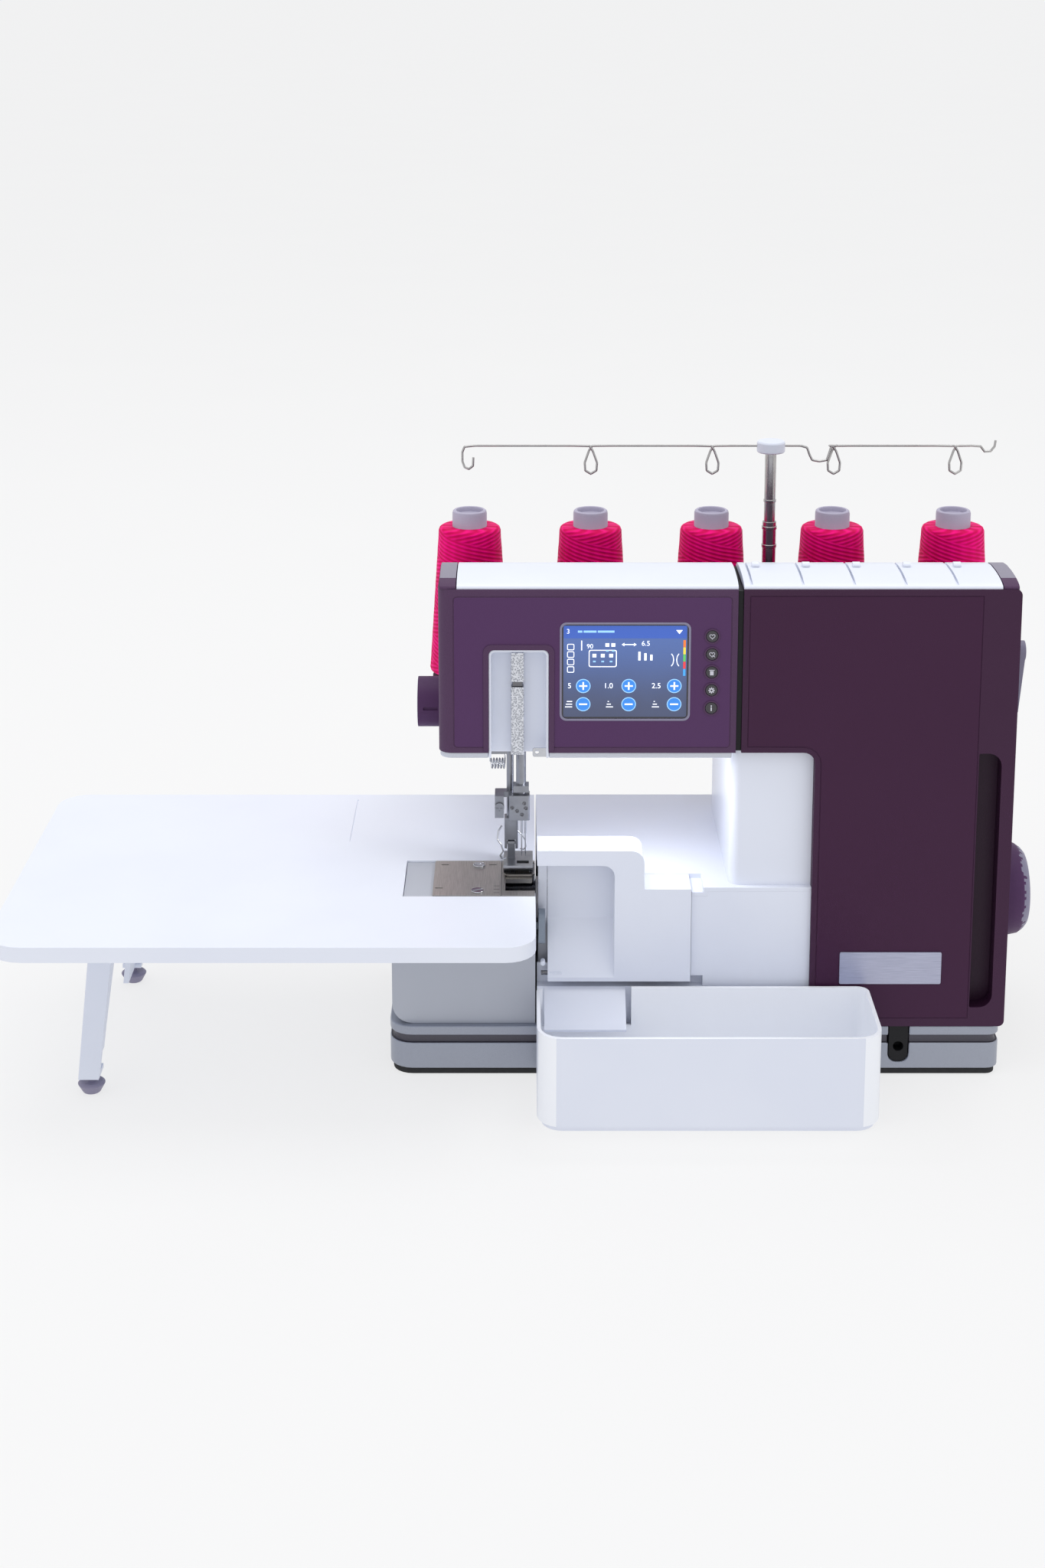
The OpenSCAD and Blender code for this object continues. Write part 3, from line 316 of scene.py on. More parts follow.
VIOLET = grained_plastic("violet plastic", paint(76, 43, 87), paint(84, 51, 94), 0.42)
AUBERGINE = grained_plastic("aubergine plastic", paint(54, 14, 51), paint(61, 22, 58), 0.4)
FRAME_VIOLET = grained_plastic("violet frame plastic", paint(72, 45, 77), paint(88, 62, 92), 0.5,
                               1500, 0.0001)
FRAME_AUBERGINE = grained_plastic("aubergine frame plastic", paint(54, 22, 52), paint(66, 34, 64), 0.5,
                                  1500, 0.0001)
# The pocket's plastic is the panel's aubergine darkened: painted shade in the recess.
POCKET_SHADE = grained_plastic("pocket plastic with painted shade", paint(40, 12, 38), paint(48, 20, 46), 0.36)
WHITE = smooth_plastic("white plastic", paint(228, 232, 244), paint(220, 225, 240), 0.32)
TABLE_WHITE = smooth_plastic("table white", paint(231, 235, 246), paint(225, 229, 243), 0.36, 0.15)
SOFT_WHITE = smooth_plastic("soft white plastic", paint(222, 227, 240), paint(210, 215, 230), 0.45, 0.1)
SILVER = metallic_plastic("silver lacquer", paint(137, 141, 154), paint(160, 165, 178), 0.36)
LIGHT_GREY = metallic_plastic("light grey lacquer", paint(186, 190, 202), paint(206, 209, 218), 0.4)
LILAC = grained_plastic("lilac plastic", paint(128, 124, 148), paint(146, 142, 164), 0.38)
CAP_GREY = grained_plastic("cap grey plastic", paint(134, 130, 145), paint(150, 146, 160), 0.45)
LILAC_TUBE = grained_plastic("lilac tube plastic", paint(172, 167, 188), paint(186, 181, 200), 0.42, 1800)
BLACK = grained_plastic("black plastic", paint(14, 14, 17), paint(24, 24, 28), 0.45)
GLOSS_BLACK = smooth_plastic("gloss black plastic", paint(24, 18, 30), paint(32, 25, 38), 0.12, 0.8)
RUBBER = rubber("black rubber", (0.016, 0.016, 0.018, 1))
STEEL = brushed_metal("plate steel", paint(196, 192, 188), paint(150, 146, 142), 0.3, "y")
BRIGHT = bright_metal("bright steel", paint(205, 207, 212), 0.16)
DARK_STEEL = bright_metal("dark steel", paint(122, 122, 126), 0.25)
WIRE = bright_metal("wire steel", paint(190, 188, 186), 0.22)
PLATE = brushed_metal("satin name plate", paint(190, 192, 212), paint(150, 153, 176), 0.26, "x")
PEARL = hammered_metal("pearl strip")
THREAD = wound_thread("magenta thread")
CLAMP = bright_metal("ground steel", paint(152, 154, 160), 0.3)
CAST = cast_alloy("cast alloy")
LAMP = glowing("lamp lens", paint(255, 252, 244), 1.6)
SLATE = grained_plastic("slate plastic", paint(128, 138, 152), paint(142, 152, 166), 0.42)
# The free arm's white is darker than the other white parts: painted shade of the table above it.
SHADED_ARM_WHITE = smooth_plastic("arm white with painted shade", paint(178, 182, 192), paint(168, 172, 183), 0.4, 0.1)
# Dark lacquer for the set-in groove of the base: painted shade in the groove.
BASE_GROOVE_SHADE = metallic_plastic("base groove painted shade lacquer", paint(66, 64, 74), paint(84, 82, 92), 0.42)
# The bin's inner faces are whiter than its outside: painted light inside the bin.
BIN_INSIDE_PAINTED_LIGHT = smooth_plastic("bin inside white with painted light", paint(247, 249, 254), paint(242, 245, 252), 0.4, 0.1)
MOTOR_PAINT = grained_plastic("motor paint", paint(48, 49, 54), paint(60, 61, 66), 0.5)

# ---------------------------------------------------------------- modelling helpers


def nothing_selected():
    if bpy.context.object and bpy.context.object.mode != "OBJECT":
        bpy.ops.object.mode_set(mode="OBJECT")
    bpy.ops.object.select_all(action="DESELECT")


def take(piece):
    nothing_selected()
    piece.select_set(True)
    bpy.context.view_layer.objects.active = piece
    return piece


def settle(piece):
    """Puts the piece's place into its mesh."""
    take(piece)
    bpy.ops.object.transform_apply(location=True, rotation=True, scale=True)
    return piece


def apply_modifier(piece, kind, **settings):
    take(piece)
    modifier = piece.modifiers.new(kind.lower(), kind)
    for setting, value in settings.items():
        setattr(modifier, setting, value)
    bpy.ops.object.modifier_apply(modifier=modifier.name)
    return piece


def dress(piece, material, body, stands_for=()):
    piece.data.materials.clear()
    piece.data.materials.append(material)
    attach(piece, body)
    if stands_for:
        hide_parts(*stands_for)
    return piece


def block(name, x0, x1, y0, y1, z0, z1):
    """A box between two corners given in machine millimetres."""
    nothing_selected()
    middle = at((x0 + x1) / 2, (y0 + y1) / 2, (z0 + z1) / 2)
    bpy.ops.mesh.primitive_cube_add(size=1, location=middle, scale=(mm(x1 - x0), mm(y1 - y0), mm(z1 - z0)))
    piece = bpy.context.object
    piece.name = name
    return settle(piece)


def drum(name, place, radius, length, axis="z", sides=64, top=None):
    """A round bar centred on place; top gives the far end another radius."""
    nothing_selected()
    turn = {"z": (0, 0, 0), "x": (0, math.pi / 2, 0), "y": (-math.pi / 2, 0, 0)}[axis]
    far = radius if top is None else top
    bpy.ops.mesh.primitive_cone_add(vertices=sides, radius1=mm(radius), radius2=mm(far), depth=mm(length),
                                    location=place, rotation=turn)
    piece = bpy.context.object
    piece.name = name
    return settle(piece)


def cut(piece, cutter, operation="DIFFERENCE"):
    apply_modifier(piece, "BOOLEAN", object=cutter, operation=operation, solver="EXACT")
    bpy.data.objects.remove(cutter)
    return piece


def soften(piece, width, segments=3, angle=30):
    """Rounds the edges that turn by more than angle, then shades the piece smoothly."""
    apply_modifier(piece, "BEVEL", width=mm(width), segments=segments, limit_method="ANGLE",
                   angle_limit=math.radians(angle), harden_normals=False, use_clamp_overlap=True)
    take(piece)
    bpy.ops.object.shade_smooth()
    apply_modifier(piece, "WEIGHTED_NORMAL", keep_sharp=True, weight=60)
    return piece


def merged_copy(node):
    """A copy of a CAD node's mesh with its triangles joined and its flat faces made whole."""
    nothing_selected()
    piece = nodes[node].copy()
    piece.data = nodes[node].data.copy()
    piece.parent = None
    piece.name = node + "_finished"
    for key in list(piece.keys()):
        if key.startswith("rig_"):
            del piece[key]
    bpy.context.scene.collection.objects.link(piece)
    take(piece)
    bpy.ops.object.mode_set(mode="EDIT")
    bpy.ops.mesh.select_all(action="SELECT")
    bpy.ops.mesh.remove_doubles(threshold=0.000002)
    bpy.ops.mesh.dissolve_limited(angle_limit=math.radians(0.6))
    bpy.ops.mesh.normals_make_consistent(inside=False)
    bpy.ops.object.mode_set(mode="OBJECT")
    return piece


def where(point):
    """A point of a settled piece in machine millimetres."""
    return (point - ORIGIN) * 1000


def tint(piece, material, chosen):
    """Gives another material to the faces for which chosen(middle, normal, corners) is true."""
    piece.data.materials.append(material)
    for face in piece.data.polygons:
        corners = [where(piece.data.vertices[corner].co) for corner in face.vertices]
        if chosen(where(face.center), face.normal, corners):
            face.material_index = len(piece.data.materials) - 1


def finish_node(node, material, width=0.5, segments=2, cutters=(), angle=30, tints=()):
    """The CAD node with its cuts, colours and rounded edges, on the same body."""
    piece = merged_copy(node)
    for cutter in cutters:
        cut(piece, cutter)
    dress(piece, material, nodes[node]["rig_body"], (node,))
    for second, chosen in tints:
        tint(piece, second, chosen)
    return soften(piece, width, segments, angle)


def rounded(x0, x1, z0, z1, radius, steps=6):
    """The outline of a rectangle with round corners, anticlockwise from the lower left."""
    points = []
    for x, z, start in ((x0, z0, 180), (x1, z0, 270), (x1, z1, 0), (x0, z1, 90)):
        middle_x = x + (radius if x == x0 else -radius)
        middle_z = z + (radius if z == z0 else -radius)
        for step in range(steps + 1):
            turn = math.radians(start + 90 * step / steps)
            points.append((middle_x + radius * math.cos(turn), middle_z + radius * math.sin(turn)))
    return points


def sheet(name, outline, y0, y1):
    """An outline in X and Z given thickness from y0 to y1."""
    nothing_selected()
    bpy.ops.mesh.primitive_circle_add(vertices=len(outline), radius=0.01, fill_type="NGON")
    piece = bpy.context.object
    piece.name = name
    for vertex, (x, z) in zip(piece.data.vertices, outline):
        vertex.co = at(x, y1, z)
    bpy.ops.object.mode_set(mode="EDIT")
    bpy.ops.mesh.select_all(action="SELECT")
    bpy.ops.mesh.extrude_region_move(TRANSFORM_OT_translate={"value": (0, -mm(y1 - y0), 0)})
    bpy.ops.mesh.select_all(action="SELECT")
    bpy.ops.mesh.normals_make_consistent(inside=False)
    bpy.ops.object.mode_set(mode="OBJECT")
    return settle(piece)


def ring(name, outer, inner, y0, y1):
    return cut(sheet(name, outer, y0, y1), sheet("hole", inner, y0 - 1, y1 + 1))


def label(name, text, x, z, size, y, deep=0.06):
    """Figures that face the front, centred on x and z."""
    nothing_selected()
    bpy.ops.object.text_add(location=at(x, y, z), rotation=(math.pi / 2, 0, 0))
    piece = bpy.context.object
    piece.data.body, piece.data.size, piece.data.extrude = text, mm(size), mm(deep)
    piece.data.align_x, piece.data.align_y = "CENTER", "CENTER"
    bpy.ops.object.convert(target="MESH")
    piece = bpy.context.object
    piece.name = name
    return settle(piece)


def joined(name, pieces):
    nothing_selected()
    for piece in pieces:
        piece.select_set(True)
    bpy.context.view_layer.objects.active = pieces[0]
    if len(pieces) > 1:
        bpy.ops.object.join()
    pieces[0].name = name
    return settle(pieces[0])


def wire(name, points, radius, smooth=True, closed=False, sides=4):
    """A round wire along points in machine millimetres."""
    data = bpy.data.curves.new(name, "CURVE")
    data.dimensions = "3D"
    data.bevel_depth, data.bevel_resolution, data.use_fill_caps = mm(radius), sides, True
    if smooth:
        spline = data.splines.new("NURBS")
        spline.order_u, spline.use_endpoint_u, spline.resolution_u = 3, not closed, 6
        spline.use_cyclic_u = closed
    else:
        spline = data.splines.new("POLY")
        spline.use_cyclic_u = closed
    spline.points.add(len(points) - 1)
    for slot, point in zip(spline.points, points):
        slot.co = (*at(*point), 1)
    piece = bpy.data.objects.new(name, data)
    bpy.context.scene.collection.objects.link(piece)
    take(piece)
    bpy.ops.object.convert(target="MESH")
    piece = bpy.context.object
    bpy.ops.object.shade_smooth_by_angle(angle=math.radians(40))
    return settle(piece)


def turned(name, place, profile, axis="z", steps=72):
    """A shape turned about an axis through place; profile is (radius, height) pairs in millimetres."""
    nothing_selected()
    bpy.ops.mesh.primitive_plane_add(size=1, location=place)
    piece = bpy.context.object
    piece.name = name
    bpy.ops.object.mode_set(mode="EDIT")
    shape = bmesh.from_edit_mesh(piece.data)
    bmesh.ops.delete(shape, geom=shape.verts[:], context="VERTS")
    row = [shape.verts.new((mm(radius), 0, mm(height))) for radius, height in profile]
    for first, second in zip(row, row[1:]):
        shape.edges.new((first, second))
    for vert in shape.verts:
        vert.select = True
    for edge in shape.edges:
        edge.select = True
    bmesh.update_edit_mesh(piece.data)
    bpy.ops.mesh.spin(steps=steps, angle=2 * math.pi, center=place, axis=(0, 0, 1))
    bpy.ops.mesh.select_all(action="SELECT")
    bpy.ops.mesh.remove_doubles(threshold=0.00001)
    bpy.ops.mesh.normals_make_consistent(inside=False)
    bpy.ops.object.mode_set(mode="OBJECT")
    if axis == "x":
        piece.rotation_euler = (0, math.pi / 2, 0)
    if axis == "y":
        piece.rotation_euler = (math.pi / 2, 0, 0)
    settle(piece)
    bpy.ops.object.shade_smooth_by_angle(angle=math.radians(35))
    return piece


# ---------------------------------------------------------------- floor and lights

def studio():
    nothing_selected()
    bpy.ops.mesh.primitive_plane_add(size=120, location=(0, 0, -0.0002))
    floor = bpy.context.object
    floor.name = "floor"
    look = Look("pale floor", Roughness=0.9, Specular_IOR_Level=0.0, Emission_Color=(1, 1, 1, 1),
                Emission_Strength=0.72)
    look.feed("Base Color", look.mix(paint(124, 124, 124), paint(121, 121, 122), look.noise(3, 2)))
    floor.data.materials.append(look.material)
    world = bpy.data.worlds.new("studio air")
    bpy.context.scene.world = world
    world.use_nodes = True
    world.node_tree.nodes["Background"].inputs["Color"].default_value = (0.97, 0.98, 1.0, 1)
    world.node_tree.nodes["Background"].inputs["Strength"].default_value = 0.84
    for name, place, size, power, target in (
        ("key light", (-1.3, -1.2, 2.7), 1.6, 5, (0, 0, 0.15)),
        ("fill light", (1.9, -1.7, 1.5), 1.8, 2, (0.05, 0, 0.15)),
        ("top light", (0, 0.3, 2.8), 2.4, 28, (0, 0, 0.1)),
        ("left lamp light", at(34, 20, 229), 0.03, 0.075, at(10, 50, 137)),
        ("right lamp light", at(74, 20, 229), 0.03, 0.075, at(90, 50, 137)),
    ):
        data = bpy.data.lights.new(name, "AREA")
        data.size, data.energy = size, power
        light = bpy.data.objects.new(name, data)
        bpy.context.scene.collection.objects.link(light)
        light.location = place
        light.rotation_euler = (Vector(target) - Vector(place)).to_track_quat("-Z", "Y").to_euler()


studio()

# ---------------------------------------------------------------- column and head
# The millimetre values below are the CAD's own.

TOP_Z = 348.6


def line_cutter(outline, y=0, radius=0.42):
    """A fine groove along a closed outline on a front face."""
    return wire("groove", [(x, y, z) for x, z in outline], radius, smooth=False, closed=True, sides=2)


def column():
    inner = [(133, 344), (133, 239)]
    quarter = [math.pi / 2 * step / 4 for step in range(5)]
    inner += [(170.8 + 12 * math.sin(turn), 226.8 + 12 * math.cos(turn)) for turn in quarter]
    inner += [(182.8, 42.5), (288.3, 42.5), (288.3, 344)]

    def panel(middle, normal, corners):
        return normal.y < -0.9 and all(abs(c.y) < 0.1 and 132 < c.x < 289 and c.z > 42 for c in corners)

    def pocket(middle, normal, corners):
        # Faces of the recessed pocket, which get the painted shade.
        return middle.y > 0.5 and 289 < middle.x < 305.2 and 49 < middle.z < 235

    finish_node("column_shell", FRAME_AUBERGINE, 1.3, 3, [line_cutter(inner)],
                tints=[(AUBERGINE, panel), (POCKET_SHADE, pocket)])
    finish_node("rear_cover", AUBERGINE, 0.7)
    finish_node("seam_strip", BLACK, 0.3)
    for count, (x, z) in enumerate(((190, 50), (302, 50), (302, 298), (190, 298))):
        screw_at_back(f"rear_screw_{count + 1}", x, 175, z)


def screw_at_back(name, x, y, z):
    """A cross-slotted screw head whose face is towards the back."""
    head = drum(name, at(x, y - 0.25, z), 3.2, 1.1, "y", 32, 2.6)
    for wide, high in ((1.9, 0.35), (0.35, 1.9)):
        cut(head, block("slot", x - wide, x + wide, y - 0.3, y + 1, z - high, z + high))
    soften(head, 0.12, 2)
    dress(head, DARK_STEEL, "machine")


def head():
    inner = rounded(-65, 120.8, 238.6, 343.6, 2.5)

    def panel(middle, normal, corners):
        inside = (abs(c.y) < 0.1 and -65.2 < c.x < 121 and 238 < c.z < 343.8 for c in corners)
        return normal.y < -0.9 and all(inside)

    finish_node("head_shell", FRAME_VIOLET, 1.5, 4, [line_cutter(inner)], tints=[(VIOLET, panel)])
    frame_outline = [(-45.2, 236)] + [(2.5, 236)] + rounded(-45.2, 2.5, 250, 310.6, 5.5)[14:]
    inside = [(-41.6, 230)] + [(-1.1, 230)] + rounded(-41.6, -1.1, 250, 306.9, 3.6)[14:]
    trim = ring("recess_frame", frame_outline, inside, -0.7, 0.4)
    soften(trim, 0.3, 2)
    dress(trim, FRAME_VIOLET, "machine")
    finish_node("arm_underside", LIGHT_GREY, 1.0, 3)


column()
head()


def top_trim():
    def cap(middle, normal, corners):
        return middle.x < -63 or middle.x > 301.3

    def low_part(middle, normal, corners):
        return cap(middle, normal, corners) and middle.z < TOP_Z + 4.6

    finish_node("top_bar", WHITE, 0.5, 2, tints=[(CAP_GREY, cap), (FRAME_VIOLET, low_part)])


top_trim()

# ---------------------------------------------------------------- display and buttons

SCREEN = (7, 92.8, 258.4, 325.2)
ICON_WHITE = glowing("display white", paint(235, 240, 252), 0.7)
KEY_BLUE = glowing("display key blue", paint(52, 128, 214), 0.45)
KEY_LIGHT = glowing("display key light", paint(150, 200, 248), 0.5)
HEADER_BLUE = glowing("display header blue", paint(58, 92, 178), 0.4)


def on_screen(u, v):
    return SCREEN[0] + u * (SCREEN[1] - SCREEN[0]), SCREEN[2] + v * (SCREEN[3] - SCREEN[2])


def screen_piece(name, piece, material):
    piece.name = name
    dress(piece, material, "machine")


def bar(name, x0, x1, z0, z1, material, y0=0.74, y1=0.9):
    screen_piece(name, block(name, x0, x1, y0, y1, z0, z1), material)


def display():
    x0, x1, z0, z1 = SCREEN
    pocket = sheet("pocket", rounded(x0 + 1.5, x1 - 1.5, z0 + 1.5, z1 - 1.5, 1.2), -1, 0.9)
    picture = screen_picture("display picture", at(0, 0, z0), at(0, 0, z1))

    def lit(middle, normal, corners):
        return normal.y < -0.9 and abs(middle.y - 0.9) < 0.02

    finish_node("touch_screen", GLOSS_BLACK, 0.12, 2, [pocket], tints=[(picture, lit)])
    rim_outside = rounded(x0 - 0.9, x1 + 0.9, z0 - 0.9, z1 + 0.9, 4.6)
    rim_inside = rounded(x0 + 0.5, x1 - 0.5, z0 + 0.5, z1 - 0.5, 3.6)
    bezel = ring("screen_bezel", rim_outside, rim_inside, -0.35, 0.6)
    soften(bezel, 0.2, 2)
    dress(bezel, LILAC, "machine")
    header = rounded(x0 + 1.7, x1 - 1.7, z1 - 10.4, z1 - 1.7, 0.9)
    screen_piece("header", sheet("header", header, 0.8, 0.9), HEADER_BLUE)
    mark = [(x1 - 4.6, z1 - 4.6), (x1 - 6.8, z1 - 7.4), (x1 - 9, z1 - 4.6)]
    screen_piece("header_mark", sheet("header_mark", mark, 0.7, 0.8), ICON_WHITE)
    for count, (u, text) in enumerate(((0.067, "5"), (0.37, "1.0"), (0.745, "2.5"))):
        x, z = on_screen(u, 0.348)
        screen_piece(f"value_{count + 1}", label("value", text, x, z, 5.2, 0.84), ICON_WHITE)
    for name, text, u, v, size in (
        ("number", "3", 0.055, 0.915, 4.6),
        ("needle_size", "90", 0.225, 0.76, 4.4),
        ("stitch_width", "6.5", 0.66, 0.79, 4.8),
    ):
        x, z = on_screen(u, v)
        screen_piece(name, label(name, text, x, z, size, 0.76 if name == "number" else 0.84), ICON_WHITE)
    for row, v in enumerate((0.348, 0.157)):
        for column_number, u in enumerate((0.174, 0.53, 0.886)):
            x, z = on_screen(u, v)
            key = drum("key", at(x, 0.82, z), 4.9, 0.14, "y", 48)
            screen_piece(f"key_{row}_{column_number}", key, KEY_BLUE)
            rim = drum("rim", at(x, 0.78, z), 4.9, 0.16, "y", 48)
            cut(rim, drum("hole", at(x, 0.78, z), 4.35, 1, "y", 48))
            screen_piece(f"key_rim_{row}_{column_number}", rim, KEY_LIGHT)
            bar(f"minus_{row}_{column_number}", x - 2.7, x + 2.7, z - 0.5, z + 0.5, ICON_WHITE, 0.68, 0.76)
            if row == 0:
                bar(f"plus_{column_number}", x - 0.5, x + 0.5, z - 2.7, z + 2.7, ICON_WHITE, 0.68, 0.76)
    # words are left as plain strokes
    for count, (start, wide) in enumerate(((0.13, 0.035), (0.175, 0.1), (0.285, 0.13))):
        x, z = on_screen(start, 0.915)
        bar(f"title_{count + 1}", x, x + wide * 85.8, z - 0.7, z + 0.7, KEY_LIGHT, 0.7, 0.8)
    # stitch ladder, needle mark, looper box, arrows and tension sign
    for count in range(4):
        x, z = on_screen(0.075, 0.52 + 0.078 * count)
        rung = cut(sheet("rung", rounded(x - 2.4, x + 2.4, z - 2.2, z + 2.2, 1), 0.78, 0.9),
                   sheet("hole", rounded(x - 1.9, x + 1.9, z - 1.7, z + 1.7, 0.6), 0, 1))
        screen_piece(f"stitch_{count + 1}", rung, ICON_WHITE)
    x, z = on_screen(0.16, 0.77)
    bar("needle_mark", x - 0.35, x + 0.35, z - 3.4, z + 3.4, ICON_WHITE)
    x, z = on_screen(0.325, 0.68)
    box = cut(sheet("looper_box", rounded(x - 9.4, x + 9.4, z - 9, z + 3, 1.4), 0.78, 0.9),
              sheet("hole", rounded(x - 8.8, x + 8.8, z - 8.4, z + 2.4, 1), 0, 1))
    screen_piece("looper_box", box, ICON_WHITE)
    for count, (dx, dz) in enumerate(((3, 6.4), (7, 6.4), (-5.6, -1), (0, -1), (5.6, -1))):
        bar(f"looper_{count + 1}", x + dx - 1.3, x + dx + 1.3, z + dz - 1.2, z + dz + 1.2, ICON_WHITE)
        bar(f"looper_letter_{count + 1}", x + dx - 0.9, x + dx + 0.9, z + dz - 4.6, z + dz - 3.6, KEY_LIGHT)
    x, z = on_screen(0.53, 0.78)
    bar("width_arrow", x - 3.8, x + 3.8, z - 0.3, z + 0.3, ICON_WHITE)
    for side in (-1, 1):
        tip = [(x + side * 5, z), (x + side * 3.2, z - 1.2), (x + side * 3.2, z + 1.2)]
        screen_piece("arrow_tip", sheet("arrow_tip", tip if side < 0 else tip[::-1], 0.78, 0.9), ICON_WHITE)
    x, z = on_screen(0.89, 0.62)
    for side in (-1, 1):
        turns = (-1.2, -0.6, 0, 0.6, 1.2)
        arcs = [(x + side * (3.4 - 2.4 * math.cos(turn)), 0.84, z + 4.6 * math.sin(turn)) for turn in turns]
        screen_piece("tension_arc", wire("tension_arc", arcs, 0.3), ICON_WHITE)
    bands = ((236, 122, 48), (238, 212, 70), (96, 190, 92), (226, 62, 70), (70, 160, 226))
    for count, colour in enumerate(bands):
        x, z = on_screen(0.962, 0.79 - 0.075 * count)
        band = glowing(f"band colour {count + 1}", paint(*colour), 0.4)
        bar(f"band_{count + 1}", x - 0.8, x + 0.8, z - 2.4, z + 2.4, band)
    for count, u in enumerate((0.06, 0.38, 0.74)):
        x, z = on_screen(u, 0.157)
        for stroke in range(3):
            end = x + 2.4 - (stroke * 1.4 if count else 0)
            low = z - 2.2 + stroke * 1.9
            bar(f"adjust_{count}_{stroke}", x - 2.4 + stroke * 0.6, end, low, low + 0.6, ICON_WHITE)
    x, z = on_screen(0.66, 0.66)
    for stroke in range(3):
        start = x - 5 + stroke * 4
        bar(f"width_mark_{stroke}", start, start + 1.6, z - 3, z + 3 - stroke, ICON_WHITE)


def heart(x, z, size):
    points = []
    for step in range(28):
        turn = 2 * math.pi * step / 28
        height = 13 * math.cos(turn) - 5 * math.cos(2 * turn) - 2 * math.cos(3 * turn) - math.cos(4 * turn)
        points.append((x + size * 0.031 * 16 * math.sin(turn) ** 3, z + size * 0.031 * height))
    return points


def keys():
    mark = smooth_plastic("printed grey", paint(206, 206, 216), paint(190, 190, 202), 0.5, 0)
    for count in range(5):
        number = 5 - count
        x, z = 107.9, 266.5 + 12.5 * count
        finish_node(f"button_{number}", GLOSS_BLACK, 0.7, 3)
        body = nodes[f"button_{number}"]["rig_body"]
        halo = drum(f"button_halo_{number}", at(x, -0.1, z), 5.3, 1.0, "y", 48, 4.9)
        cut(halo, drum("hole", at(x, -0.1, z), 4.2, 3, "y", 48))
        soften(halo, 0.2, 2)
        dress(halo, FRAME_VIOLET, "machine")
        front = -0.63
        parts = []
        if number <= 2:
            outline = [(px, front, pz) for px, pz in heart(x, z, 3.6)]
            parts.append(wire("heart", outline, 0.24, smooth=False, closed=True, sides=2))
        if number == 2:
            arrow = [(x + 0.2, front, z - 0.4), (x + 1.9, front, z - 1.8)]
            parts.append(wire("arrow", arrow, 0.24, smooth=False, sides=2))
        if number == 3:
            parts.append(block("bin", x - 1.2, x + 1.2, front - 0.12, front + 0.1, z - 1.9, z + 1))
            parts.append(block("lid", x - 1.8, x + 1.8, front - 0.12, front + 0.1, z + 1.35, z + 1.8))
        if number == 4:
            gear = drum("gear", at(x, front, z), 1.5, 0.24, "y", 24)
            parts.append(cut(gear, drum("hole", at(x, front, z), 0.7, 1, "y", 16)))
            for tooth in range(8):
                turn = math.pi * tooth / 4
                tooth_place = at(x + 1.8 * math.cos(turn), front, z + 1.8 * math.sin(turn))
                parts.append(drum("tooth", tooth_place, 0.38, 0.24, "y", 8))
        if number == 5:
            parts.append(block("stem", x - 0.42, x + 0.42, front - 0.12, front + 0.1, z - 1.9, z + 0.7))
            parts.append(drum("dot", at(x, front, z + 1.6), 0.5, 0.24, "y", 20))
        dress(joined(f"button_sign_{number}", parts), mark, body)


display()
keys()

# ---------------------------------------------------------------- bed, base, table and bin

bin_low, bin_high = (where(corner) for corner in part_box("trim_bin"))


# Faces of the set-in groove in the base, which get the painted shade.
def base_groove(middle, normal, corners):
    return 23.9 < middle.z < 29.6


def strip_clip(middle, normal, corners):
    return 277.8 < middle.z < 283.2 and middle.y > 8.5


# Faces inside the bin, which get the painted light.
def inside_bin(middle, normal, corners):
    across = bin_low.x + 1 < middle.x < bin_high.x - 1
    along = bin_low.y + 1 < middle.y < bin_high.y - 1
    return across and along and middle.z > 2.5


# The black rubber sole is a full ring: real rubber, and also a dark band that stands in for the line of
# shade under the base.
finish_node("rubber_sole", RUBBER, 0.6)
finish_node("knee_socket", BLACK, 0.4)
finish_node("cast_frame", CAST, 0.8)
finish_node("pillar", WHITE, 1.2, 3)
finish_node("bed_cover", WHITE, 0.8)
finish_node("front_panel", WHITE, 0.6)
# The free arm gets the white with painted shade of the table.
finish_node("free_arm", SHADED_ARM_WHITE, 1.2, 3)
finish_node("base_pan", SILVER, 1.0, 3, tints=[(BASE_GROOVE_SHADE, base_groove)])
finish_node("needle_recess", WHITE, 0.5)
finish_node("needle_strip", PEARL, 0.8, 3, tints=[(DARK_STEEL, strip_clip)])
finish_node("cloth_plate", STEEL, 0.15)
finish_node("plate_screws", BRIGHT, 0.25)
finish_node("stitch_plate", STEEL, 0.15)
finish_node("looper_cover", WHITE, 1.1, 3)
finish_node("cover_hinge_rod", DARK_STEEL, 0.2)
finish_node("trim_bin", WHITE, 1.0, 3, tints=[(BIN_INSIDE_PAINTED_LIGHT, inside_bin)])
finish_node("table_top", TABLE_WHITE, 1.8, 4)
finish_node("leg_frame", SOFT_WHITE, 0.8)
finish_node("foot_front", LILAC, 0.6)
finish_node("foot_back", LILAC, 0.6)
finish_node("blank_plate", PLATE, 0.25)

# ---------------------------------------------------------------- inside

finish_node("motor", MOTOR_PAINT, 1.5)
finish_node("drive_belt", RUBBER, 0.2)
finish_node("main_shaft", DARK_STEEL, 0.4)
finish_node("motor_rotor", DARK_STEEL, 0.3)
finish_node("needle_bar", CLAMP, 0.35)
finish_node("needles", BRIGHT, 0.05)
finish_node("upper_looper", BRIGHT, 0.2)
finish_node("lower_looper", BRIGHT, 0.2)
finish_node("upper_knife", DARK_STEEL, 0.1)
finish_node("feed_dogs", DARK_STEEL, 0.08)
cross_slot = [
    block("slot", -37.1, -32.5, 35, 36.9, 181.5, 182.5),
    block("slot", -35.3, -34.3, 35, 36.9, 179.7, 184.3),
]
finish_node("presser_bar", CLAMP, 0.35, 2, cross_slot)
finish_node("presser_foot", CLAMP, 0.2)


